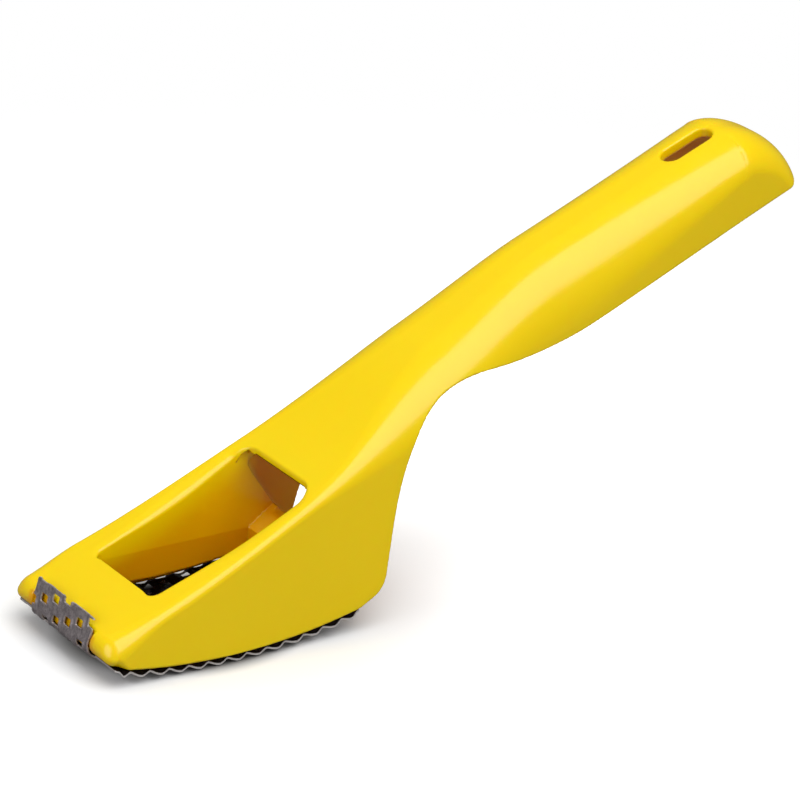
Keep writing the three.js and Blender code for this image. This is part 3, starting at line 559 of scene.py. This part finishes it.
def body_field(x, y, z):
    """Signed depth of the whole body: the head form less its hollows, each cut with its own edge radius."""
    wide, low = np.abs(y), under(x, z)
    draft = wide - WELL_HALF - np.maximum(0, z - RAIL) * WELL_DRAFT
    before_wall = -beside(x, z, CREST, BROW)
    roll = roll_growth(x) * smooth_step(z - crown(x), RIM_LOW, RIM_HIGH) * smooth_step(wide, RIM_INNER, RIM_OUTER)
    well = blade_well(x, z, draft, before_wall)
    form = oval(head_form(x, y, z, low), -well, RIM_EDGE + RIM_DOWN * roll, RIM_EDGE + RIM_ACROSS * roll)
    form = cut(form, handle_channel(x, y, z, draft, before_wall), CHANNEL_EDGE)
    form = cut(form, head_core(x, y, z, draft, low), CORE_EDGE)
    form = cut(form, crest_notch(x, z, wide), NOTCH_EDGE)
    form = cut(form, tab_recess(x, z, wide, low), RECESS_EDGE)
    return cut(form, hanging_slot(x, y, z), SLOT_EDGE)


# %% [markdown]
# ## The body's mesh
# The cells are 0.42 mm wide, or 0.48 mm long on the plain grip, so that the smallest edge radii are still
# drawn. Such a mesh has many triangles on flat faces, which Blender's Decimate takes away. The attribute
# "hollow" says how far a point lies under the outer skin; there, and behind the tab, the plastic is painted
# a deeper orange as painted shade.

# %% Make the body
CELL, LONG_CELL, MOST_TRIANGLES = 0.42, 0.48, 185000
axes = [
    np.concatenate([np.arange(-3.0, 70, CELL), np.arange(70, 186.5, LONG_CELL)]),
    np.arange(-22.26, 22.5, CELL),
    np.arange(-1.0, 97, CELL),
]
points, faces = surface_cells(depth_near(body_field, axes), axes)
points = draw_on(body_field, points, 2)
points, faces = thinned("handle_body", points, faces, min(1.0, MOST_TRIANGLES / (2 * len(faces))))
points = draw_on(body_field, points, 1, 0.05)
shell = mesh_piece("handle_body", points, faces, steepest(body_field, points))
print("body:", len(points), "points and", len(faces), "triangles")
print("body's box in mm:", points.min(0).round(2), points.max(0).round(2))

# %% Mark the hollows for painted shade
x, y, z = points.T
buried = -top_form(x, y, z)
# Painted shade: the walls of the well turn orange slowly, within 8.5 mm of the deck; the channel does at once,
# behind the head
well_wall_shade = smooth_step(buried, 1.0, 8.5) * 0.8 + 0.2 * smooth_step(buried, 4, 6) * (z < RAIL)
channel_wall_shade = smooth_step(buried, 1.6, 2.6) * smooth_step(x, 54, 58)
# Painted shade in the recess behind the tab, too
tab_recess_shade = 0.8 * smooth_step(buried, 0.3, 0.6) * (x < 6) * (np.abs(y) < 14)
hollows = np.maximum(np.maximum(well_wall_shade, channel_wall_shade), tab_recess_shade)
shell.data.attributes.new("hollow", "FLOAT", "POINT").data.foreach_set("value", hollows.astype(np.float32))
print("points in the hollows:", int((hollows > 0.5).sum()))

# %% [markdown]
# ## Blade
# A strip of hardened sheet steel, punched with a slanting lattice of square holes. The punch lifts the
# metal behind each hole into a small raised tooth, and the rows run out over both long edges as a wave.
# The sheet follows the arc of the sole and is turned up at the nose and at the heel. Its field is worked
# out flat, in lengths along, across and out of the sheet, and the found points are then bent into place.

# %% Define the blade's path
BLADE_HALF, TAB_HEIGHT, LIP_HALF, LIP_HEIGHT = 20.65, 6.4, 12.5, 4.2
PITCH, TURN, FIRST_DOWN, FIRST_ACROSS = 4.62, math.radians(20.5), 5.6, -1.65
OUTER = SOLE_RADIUS + SEAT + SHEET
TAB_HEADING, LIP_HEADING = -math.pi / 2 - TAB_LEAN, math.pi / 2 - TAB_LEAN
RUNS = np.array([
    TAB_HEIGHT, TAB_BEND * (FRONT_HEADING - TAB_HEADING), OUTER * (REAR_HEADING - FRONT_HEADING),
    LIP_BEND * (LIP_HEADING - REAR_HEADING), LIP_HEIGHT,
])
PLATE_START, PLATE_END, BLADE_LENGTH = RUNS[:2].sum(), RUNS[:3].sum(), RUNS.sum()
path_t = np.linspace(0, BLADE_LENGTH, 4001)
path_heading = np.interp(
    path_t, np.concatenate([[0], np.cumsum(RUNS)]),
    [TAB_HEADING, TAB_HEADING, FRONT_HEADING, REAR_HEADING, LIP_HEADING, LIP_HEADING],
)
middle_heading = (path_heading[1:] + path_heading[:-1]) / 2
path_step = path_t[1]
path_x = np.concatenate([[0], np.cumsum(np.cos(middle_heading) * path_step)])
path_z = np.concatenate([[0], np.cumsum(np.sin(middle_heading) * path_step)])
foot_x, foot_z = FRONT_X + TAB_BEND * math.sin(TAB_HEADING), FRONT_Z - TAB_BEND * math.cos(TAB_HEADING)
path_x += foot_x - np.interp(RUNS[0], path_t, path_x)
path_z += foot_z - np.interp(RUNS[0], path_t, path_z)
print("blade, flat, in mm: tab, bend, sole, bend and lip", RUNS.round(1), "together", round(BLADE_LENGTH, 1))


def bent(points, normals):
    """Flat places (along, across, out) carried onto the path: the path's point plus the outward normal times out."""
    t, s, n = points.T
    heading = np.interp(t, path_t, path_heading)
    x = np.interp(t, path_t, path_x) + n * np.sin(heading)
    z = np.interp(t, path_t, path_z) - n * np.cos(heading)
    gt, gs, gn = normals.T
    turned = [gt * np.cos(heading) + gn * np.sin(heading), -gs, gt * np.sin(heading) - gn * np.cos(heading)]
    return np.stack([x, -s, z], 1), np.stack(turned, 1)


# %% [markdown]
# ## The teeth
# Each tooth of the real blade is made by one stroke of a square punch, which cuts a hole and pushes up a hood
# behind it. A single tooth could be modelled and copied a hundred times, but the sheet between them is bent
# too. Here one formula gives the height of the sheet anywhere, from the place within the lattice's nearest
# square, and all holes are cut the same way.

# %% Define the lattice of teeth
def lattice(t, s):
    """The place turned back by the lattice's angle and rounded to whole pitches names the nearest tooth.

    Returned are the lengths along and across from that tooth, and the tooth's own place.
    """
    cos, sin = math.cos(TURN), math.sin(TURN)
    dt, ds = (t - FIRST_DOWN) / PITCH, (s - FIRST_ACROSS) / PITCH
    j, i = np.round(dt * cos + ds * sin), np.round(ds * cos - dt * sin)
    tooth_t = FIRST_DOWN + PITCH * (j * cos - i * sin)
    tooth_s = FIRST_ACROSS + PITCH * (j * sin + i * cos)
    return t - tooth_t, s - tooth_s, tooth_t, tooth_s


def toothed(tooth_t, tooth_s):
    """True where the lattice has a tooth: on the tab and over the plate, clear of the edges and of the lip."""
    on_tab = (tooth_t > -2.3) & (tooth_t < PLATE_START) & (np.abs(tooth_s) < TAB_HALF + 1.45)
    on_plate = (tooth_t >= PLATE_START) & (tooth_t < PLATE_END - 1.5) & (np.abs(tooth_s) < BLADE_HALF - 1.5)
    return on_tab | on_plate


# %% Define the teeth and the wave
TAB_HOOD, MORE_HOOD, HOOD_FULLNESS = 0.3, 0.8, 1.2
HOOD_START, HOOD_TOP, HOOD_DROP, HOOD_END, HOOD_FLAT, HOOD_HALF = -2.3, 0.5, 0.9, 2.2, 1.15, 2.2
WAVE_HEIGHT, WAVE_BACK, WAVE_CLIMB, WAVE_FALL, WAVE_INNER = 1.18, 2.9, 3.2, 1.7, 18.8


def hoods(t, s):
    """The punched hood of each tooth: its height times a slow climb, a steep fall and a fade to both sides."""
    u, v, tooth_t, tooth_s = lattice(t, s)
    rise = TAB_HOOD + MORE_HOOD * smooth_step(tooth_t, PLATE_START, PLATE_START + 2.3)
    climb = smooth_step(u, HOOD_START, HOOD_TOP) ** HOOD_FULLNESS
    fall = 1 - smooth_step(u, HOOD_DROP, HOOD_END)
    return toothed(tooth_t, tooth_s) * rise * climb * fall * (1 - smooth_step(np.abs(v), HOOD_FLAT, HOOD_HALF))


def edge_wave(t, s):
    """The wave where the rows meet the long edges: one climb and one shorter fall in each period of the rows."""
    edge, period = np.sign(s) * BLADE_HALF, PITCH / math.cos(TURN)
    first = FIRST_DOWN - (edge - FIRST_ACROSS) * math.tan(TURN)
    phase = np.mod(t - first + WAVE_BACK, period) - WAVE_BACK
    climb = np.clip((phase + WAVE_BACK) / WAVE_CLIMB, 0, 1)
    fall = np.clip((period - WAVE_BACK - phase + 0.1) / WAVE_FALL, 0, 1)
    wave = WAVE_HEIGHT * smooth_step(np.minimum(climb, fall), -0.25, 1.0) * smooth_step(np.abs(s), WAVE_INNER, 20.4)
    runs_in = smooth_step(t, PLATE_START + 0.5, PLATE_START + 2.5)
    return wave * runs_in * (1 - smooth_step(t, PLATE_END - 2.5, PLATE_END - 0.5))


def height(t, s):
    """How far the sheet is pressed out: the higher of the hoods and the wave."""
    return np.maximum(hoods(t, s), edge_wave(t, s))


# %% Define the blade's field
HOLE_HALF, HOLE_FRONT, HOLE_REAR, HOLE_CORNER = 1.3, 0.3, 1.65, 0.3
PLATE_CORNER, TAB_CORNER, TAB_TOP_CORNER, OVERLAP, SHEET_EDGE = 0.8, 0.5, 0.4, 2.0, 0.08


def blade_field(t, s, n):
    """Signed depth of the flat sheet: between its two faces, inside its outline, and outside the square holes."""
    steep_t = (height(t + 0.05, s) - height(t - 0.05, s)) / 0.1
    steep_s = (height(t, s + 0.05) - height(t, s - 0.05)) / 0.1
    lift = height(t, s)
    sheet = (np.abs(n - lift + SHEET / 2) - SHEET / 2) / np.sqrt(1 + steep_t**2 + steep_s**2)
    tab = both(np.abs(s) - TAB_HALF, t - PLATE_START - OVERLAP, TAB_CORNER)
    plate = both(both(np.abs(s) - BLADE_HALF, PLATE_START - t, PLATE_CORNER), t - PLATE_END, PLATE_CORNER)
    lip = both(both(np.abs(s) - LIP_HALF, PLATE_END - OVERLAP - t, TAB_CORNER), t - BLADE_LENGTH, PLATE_CORNER)
    outline = np.minimum(np.minimum(both(tab, -t, TAB_TOP_CORNER), plate), lip)
    u, v, tooth_t, tooth_s = lattice(t, s)
    front = np.where(tooth_t < PLATE_START, -HOLE_FRONT, HOLE_FRONT)
    hole = both(np.abs(v) - HOLE_HALF, np.abs(u - (front + HOLE_REAR) / 2) - (HOLE_REAR - front) / 2, HOLE_CORNER)
    hole = np.where(toothed(tooth_t, tooth_s), hole, 1.0)
    return cut(both(sheet, outline, SHEET_EDGE), hole, SHEET_EDGE)


# %% Make the blade
BLADE_CELL, THROUGH_CELL = 0.33, 0.19
axes = [
    np.arange(-0.35, BLADE_LENGTH + 0.5, BLADE_CELL),
    np.arange(-20.96, 21.1, BLADE_CELL),
    np.arange(-0.85, 1.5, THROUGH_CELL),
]
depth = blade_field(axes[0][:, None, None], axes[1][None, :, None], axes[2][None, None, :])
points, faces = surface_cells(depth, axes)
points = draw_on(blade_field, points, 2, 0.12)
normals = steepest(blade_field, points, 0.01)
bent_points, bent_normals = bent(points, normals)
strip = mesh_piece("pierced_blade", bent_points, faces, bent_normals)
print("blade:", len(points), "points and", len(faces), "quads")
print("blade's box in mm:", bent_points.min(0).round(2), bent_points.max(0).round(2))

# %% [markdown]
# ## Faces of the blade
# The three faces of punched steel differ: the outer one is dull, the inner one is painted near-black as
# painted shade, and the sheared edges along the long sides and on the tab are uncoated steel, made brighter
# in part as painted highlight. The way a face looks tells them apart, so the flat sheet's own normals give
# two attributes: "inner", which also takes in the walls of the holes, and "sheared".

# %% Mark the faces of the blade
along, across = points.T[:2]
facing = normals[:, 2] / np.linalg.norm(normals, axis=1)
at_edge = smooth_step(np.abs(across), 19.4, 20.3)
on_plate = smooth_step(along, PLATE_START, PLATE_START + 2)
wider = (1 - at_edge) * on_plate * 0.6
# Painted shade: "inner" takes in the inner face and, on the plate, the walls of the holes
inner = smooth_step(-facing, 0.3 - wider, 0.8 - wider).astype(np.float32)
# Partly painted highlight: the long outer edges, and half as much the tab's edges, count as sheared
bare_and_glint_share = np.maximum(at_edge, 0.5 * (1 - on_plate))
sheared = (bare_and_glint_share * (1 - smooth_step(np.abs(facing), 0.45, 0.85))).astype(np.float32)
for name, values in (("inner", inner), ("sheared", sheared)):
    strip.data.attributes.new(name, "FLOAT", "POINT").data.foreach_set("value", values)
print("points on the inner face and on sheared edges:", int((inner > 0.5).sum()), int((sheared > 0.5).sum()))

# %% [markdown]
# ## Small helpers for materials
# Each finish is a tree of nodes. Nodes could be placed by hand in Blender; here one helper adds a node, sets it
# and links it, so that a finish reads as a short list. Colours are written as a person picks them, in sRGB.

# %% Define the material helpers
MIX_COLOUR = {"data_type": "RGBA"}
EASED = {"interpolation_type": "SMOOTHSTEP"}
WHITE = (1.0, 1.0, 1.0, 1.0)


def linear(hex_colour):
    """sRGB hex to linear colour: c / 12.92 for the darkest, else ((c + 0.055) / 1.055) to the power 2.4."""
    parts = [int(hex_colour[i:i + 2], 16) / 255 for i in (0, 2, 4)]
    return [c / 12.92 if c <= 0.04045 else ((c + 0.055) / 1.055) ** 2.4 for c in parts] + [1.0]


def add_node(tree, kind, settings=None, **links):
    """One node with its settings; a link is a value for a socket, or another node's output."""
    node = tree.nodes.new(kind)
    for name, value in (settings or {}).items():
        setattr(node, name, value)
    for name, value in links.items():
        by_number = name[0] == "i" and name[1:].isdigit()
        socket = node.inputs[int(name[1:])] if by_number else node.inputs[name.replace("_", " ")]
        if isinstance(value, bpy.types.NodeSocket):
            tree.links.new(value, socket)
        else:
            socket.default_value = value
    return node


def new_material(name):
    """A material with an empty node tree."""
    material = bpy.data.materials.new(name)
    material.use_nodes = True
    material.node_tree.nodes.clear()
    return material, material.node_tree


# %% [markdown]
# ## Plastic
# Glossy yellow ABS, moulded in one piece. Light goes a little way into it, so thin shaded walls glow orange.
# Scattering below the surface gives part of that glow; it alone stays too pale in the hollows, so the colour
# is also painted a deeper orange where the attribute "hollow" says so, as painted shade. The skin has a very
# faint orange peel and fine handling marks. A clear coat over a flat colour could be used, but moulded ABS
# has no coat.

# %% Make the yellow plastic
plastic, tree = new_material("yellow_abs_plastic")
place = add_node(tree, "ShaderNodeTexCoord").outputs["Object"]
# Clouds of colour about 17 mm across
cloud = add_node(tree, "ShaderNodeTexNoise", Vector=place, Scale=60.0, Detail=2.0, Roughness=0.5).outputs["Fac"]
fresh = add_node(tree, "ShaderNodeMix", MIX_COLOUR, i0=cloud, i6=linear("fcd500"), i7=linear("fed900")).outputs[2]
hollow = add_node(tree, "ShaderNodeAttribute", {"attribute_name": "hollow"}).outputs["Fac"]
# Painted shade: a deeper orange where the attribute "hollow" marks the hollows
hollow_shade_tint = add_node(tree, "ShaderNodeMix", MIX_COLOUR, i0=hollow, i6=fresh, i7=linear("eda400")).outputs[2]
# Orange peel about 1.1 mm across and 0.04 mm high
peel = add_node(tree, "ShaderNodeTexNoise", Vector=place, Scale=900.0, Detail=2.0, Roughness=0.5).outputs["Fac"]
ripple = add_node(tree, "ShaderNodeBump", Strength=0.12, Distance=0.00004, Height=peel).outputs["Normal"]
# Handling marks about 4.5 mm across
wear = add_node(tree, "ShaderNodeTexNoise", Vector=place, Scale=220.0, Detail=4.0, Roughness=0.6).outputs["Fac"]
gloss = add_node(tree, "ShaderNodeMapRange", Value=wear, From_Min=0.3, From_Max=0.7, To_Min=0.17, To_Max=0.23)
skin = add_node(
    tree, "ShaderNodeBsdfPrincipled",
    Base_Color=hollow_shade_tint, Roughness=gloss.outputs["Result"], IOR=1.54, Normal=ripple,
    Subsurface_Weight=0.22, Subsurface_Radius=(0.003, 0.0008, 0.00005), Subsurface_Scale=1.0,
)
add_node(tree, "ShaderNodeOutputMaterial", Surface=skin.outputs["BSDF"])
print(plastic.name, "has", len(tree.nodes), "nodes")

# %% [markdown]
# ## Steel
# Hardened sheet steel. Its outer face is a dull, slightly purplish grey with a fine speckle. Its inner face is
# painted near-black as painted shade, and its sheared edges are a brighter, less metallic steel, in part as
# painted highlight. One metal with a roughness map could stand for all; the three faces are mixed by the two
# attributes.

# %% Make the blade steel
steel, tree = new_material("blade_sheet_steel")
place = add_node(tree, "ShaderNodeTexCoord").outputs["Object"]
painted_shade_face = add_node(tree, "ShaderNodeAttribute", {"attribute_name": "inner"}).outputs["Fac"]
edge_metal_and_glint = add_node(tree, "ShaderNodeAttribute", {"attribute_name": "sheared"}).outputs["Fac"]
# Speckle of the rolled and hardened face: 1.1 mm across, coarser than the real one, so that it shows
mottle = add_node(tree, "ShaderNodeTexNoise", Vector=place, Scale=900.0, Detail=5.0, Roughness=0.7).outputs["Fac"]
tone = add_node(tree, "ShaderNodeMapRange", Value=mottle, From_Min=0.35, From_Max=0.65).outputs["Result"]
dull = add_node(tree, "ShaderNodeMix", MIX_COLOUR, i0=tone, i6=linear("a0969a"), i7=linear("dcd2d3")).outputs[2]
# Uncoated sheared steel, brighter in part as painted highlight
bright = add_node(tree, "ShaderNodeMix", MIX_COLOUR, i0=edge_metal_and_glint, i6=dull, i7=linear("dcd8d6")).outputs[2]
# Painted shade: the inner face and the walls of the holes are near-black
scaled = add_node(tree, "ShaderNodeMix", MIX_COLOUR, i0=painted_shade_face, i6=bright, i7=linear("2a2629")).outputs[2]
grain = add_node(tree, "ShaderNodeBump", Strength=0.35, Distance=0.00005, Height=mottle).outputs["Normal"]
rough = add_node(tree, "ShaderNodeMapRange", Value=tone, To_Min=0.6, To_Max=0.48).outputs["Result"]
# Less metallic where sheared, so that the edges show bright: in part painted highlight
burr_metal_and_glint = add_node(tree, "ShaderNodeMapRange", Value=edge_metal_and_glint, To_Min=1.0, To_Max=0.35).outputs["Result"]
metal = add_node(
    tree, "ShaderNodeBsdfPrincipled", Base_Color=scaled, Metallic=burr_metal_and_glint, Roughness=rough, Normal=grain,
)
add_node(tree, "ShaderNodeOutputMaterial", Surface=metal.outputs["BSDF"])
print(steel.name, "has", len(tree.nodes), "nodes")

# %% [markdown]
# ## Finish the two pieces
# Each fine piece stands for one CAD node and moves with that node's body. The CAD solids could be dressed
# with these finishes instead; the fine pieces are kept because they also carry the rounded edges and teeth.

# %% Put the pieces on the frame
pieces = [(shell, "body", plastic, "moulded_plastic"), (strip, "blade", steel, "tool_steel")]
for piece, node, material, slot in pieces:
    piece.data.materials.append(material)
    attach(piece, node)
    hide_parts(node)
    print(piece.name, "stands for", node, "in", material.name)

# %% [markdown]
# ## Floor
# The photograph's ground is plain white paper, with a soft grey shade under the sole. The floor is one flat
# sheet. A floor lit only by the lamps comes out grey here, so the camera sees nearly white paper that glows a
# little away from the tool, and a darker oval under the sole stands for the shade there and behind the
# blade's holes. Reflections and bounced light see a plain grey floor. It fades out far off and is clear from
# below, so that the underside can be looked at.

# %% Make the floor
FLOOR_SIZE, FLOOR_GAP = 6.0, 0.0002
FADE_START, FADE_END = 0.12, 0.32
OVAL_SHAPE, OVAL_PLACE, OVAL_DARK, OVAL_LIGHT = (1.15, 1.45, 1.0), (-0.07, 0.0, 0.0), 0.027, 0.037
GLOW_PLACE, GLOW_START, GLOW_END, GLOW_STRENGTH = (-0.055, 0.0, 0.0), 0.03, 0.09, 0.4

reach = FLOOR_SIZE / 2
corners = [(-reach, -reach, 0), (reach, -reach, 0), (reach, reach, 0), (-reach, reach, 0)]
floor_mesh = bpy.data.meshes.new("floor")
floor_mesh.from_pydata(corners, [], [(0, 1, 2, 3)])
floor = bpy.data.objects.new("floor", floor_mesh)
floor.location.z = cad_low.z - FLOOR_GAP
bpy.context.scene.collection.objects.link(floor)

pale, tree = new_material("pale_floor")
rays = add_node(tree, "ShaderNodeLightPath").outputs
side = add_node(tree, "ShaderNodeNewGeometry").outputs
place = add_node(tree, "ShaderNodeTexCoord").outputs["Object"]
# Clear far off for the camera, and from below for all
far = add_node(tree, "ShaderNodeVectorMath", {"operation": "LENGTH"}, i0=place).outputs["Value"]
fade = add_node(tree, "ShaderNodeMapRange", EASED, Value=far, From_Min=FADE_START, From_Max=FADE_END)
faded = add_node(tree, "ShaderNodeMath", {"operation": "MULTIPLY"}, i0=fade.outputs[0], i1=rays["Is Camera Ray"])
hidden = add_node(tree, "ShaderNodeMath", {"operation": "MAXIMUM"}, i0=faded.outputs[0], i1=side["Backfacing"])
# The oval of shade under the sole, which only the camera sees
oblong = add_node(tree, "ShaderNodeVectorMath", {"operation": "MULTIPLY"}, i0=place, i1=OVAL_SHAPE).outputs["Vector"]
from_sole = add_node(tree, "ShaderNodeVectorMath", {"operation": "DISTANCE"}, i0=oblong, i1=OVAL_PLACE)
shaded = add_node(
    tree, "ShaderNodeMapRange", EASED, Value=from_sole.outputs["Value"], From_Min=OVAL_DARK, From_Max=OVAL_LIGHT,
).outputs["Result"]
white = add_node(tree, "ShaderNodeMix", MIX_COLOUR, i0=shaded, i6=linear("66625e"), i7=linear("fefefe")).outputs[2]
dim = add_node(tree, "ShaderNodeMix", MIX_COLOUR, i0=rays["Is Glossy Ray"], i6=linear("979797"), i7=linear("747474"))
paper = add_node(tree, "ShaderNodeMix", MIX_COLOUR, i0=rays["Is Camera Ray"], i6=dim.outputs[2], i7=white).outputs[2]
sheet = add_node(tree, "ShaderNodeBsdfDiffuse", Color=paper).outputs[0]
# A little glow away from the tool
from_nose = add_node(tree, "ShaderNodeVectorMath", {"operation": "DISTANCE"}, i0=place, i1=GLOW_PLACE)
open_floor = add_node(
    tree, "ShaderNodeMapRange", EASED,
    Value=from_nose.outputs["Value"], From_Min=GLOW_START, From_Max=GLOW_END, To_Max=GLOW_STRENGTH,
).outputs["Result"]
lift = add_node(tree, "ShaderNodeMath", {"operation": "MULTIPLY"}, i0=rays["Is Camera Ray"], i1=open_floor)
glow = add_node(tree, "ShaderNodeEmission", Color=WHITE, Strength=lift.outputs[0])
page = add_node(tree, "ShaderNodeAddShader", i0=sheet, i1=glow.outputs[0])
clear = add_node(tree, "ShaderNodeBsdfTransparent")
one_way = add_node(tree, "ShaderNodeMixShader", i0=hidden.outputs[0], i1=page.outputs[0], i2=clear.outputs["BSDF"])
add_node(tree, "ShaderNodeOutputMaterial", Surface=one_way.outputs["Shader"])
floor_mesh.materials.append(pale)
print("floor at mm:", round(floor.location.z / MM, 2))

# %% [markdown]
# ## Light
# The photograph was lit softly from above and from the camera's side, with a white ground behind. A tent of
# real sheets could be modelled; a plain world and three square lamps give the same broad highlights on the
# gloss with less noise. The world is white to the camera, and dimmer where it lights or mirrors.

# %% Light the studio
world = bpy.data.worlds.new("studio")
world.use_nodes = True
tree = world.node_tree
tree.nodes.clear()
rays = add_node(tree, "ShaderNodeLightPath").outputs
open_air = add_node(tree, "ShaderNodeBackground", Color=WHITE, Strength=0.42).outputs[0]
walls = add_node(tree, "ShaderNodeBackground", Color=WHITE, Strength=0.12).outputs[0]
paper = add_node(tree, "ShaderNodeBackground", Color=WHITE, Strength=1.0).outputs[0]
around = add_node(tree, "ShaderNodeMixShader", i0=rays["Is Glossy Ray"], i1=open_air, i2=walls).outputs[0]
seen = add_node(tree, "ShaderNodeMixShader", i0=rays["Is Camera Ray"], i1=around, i2=paper).outputs[0]
add_node(tree, "ShaderNodeOutputWorld", Surface=seen)
bpy.context.scene.world = world
bpy.context.scene.view_settings.view_transform = "Standard"


def soft_light(name, place, aim, size, watts):
    """A square area light at a place, turned to face an aim point."""
    data = bpy.data.lights.new(name, "AREA")
    data.size, data.energy = size, watts
    lamp = bpy.data.objects.new(name, data)
    lamp.location = place
    lamp.rotation_euler = (Vector(aim) - Vector(place)).to_track_quat("-Z", "Y").to_euler()
    bpy.context.scene.collection.objects.link(lamp)
    return lamp


middle = (cad_low + cad_high) / 2
soft_light("top", middle + Vector((0.1, 0.25, 0.8)), middle, 1.0, 1.7).visible_glossy = False
soft_light("key", middle + Vector((0.0, -0.4, 0.66)), middle, 0.74, 4.12)
soft_light("fill", middle + Vector((-0.8, -0.05, 0.35)), middle, 0.5, 1.7)
print("lamps aimed at mm:", [round(x / MM, 1) for x in middle])
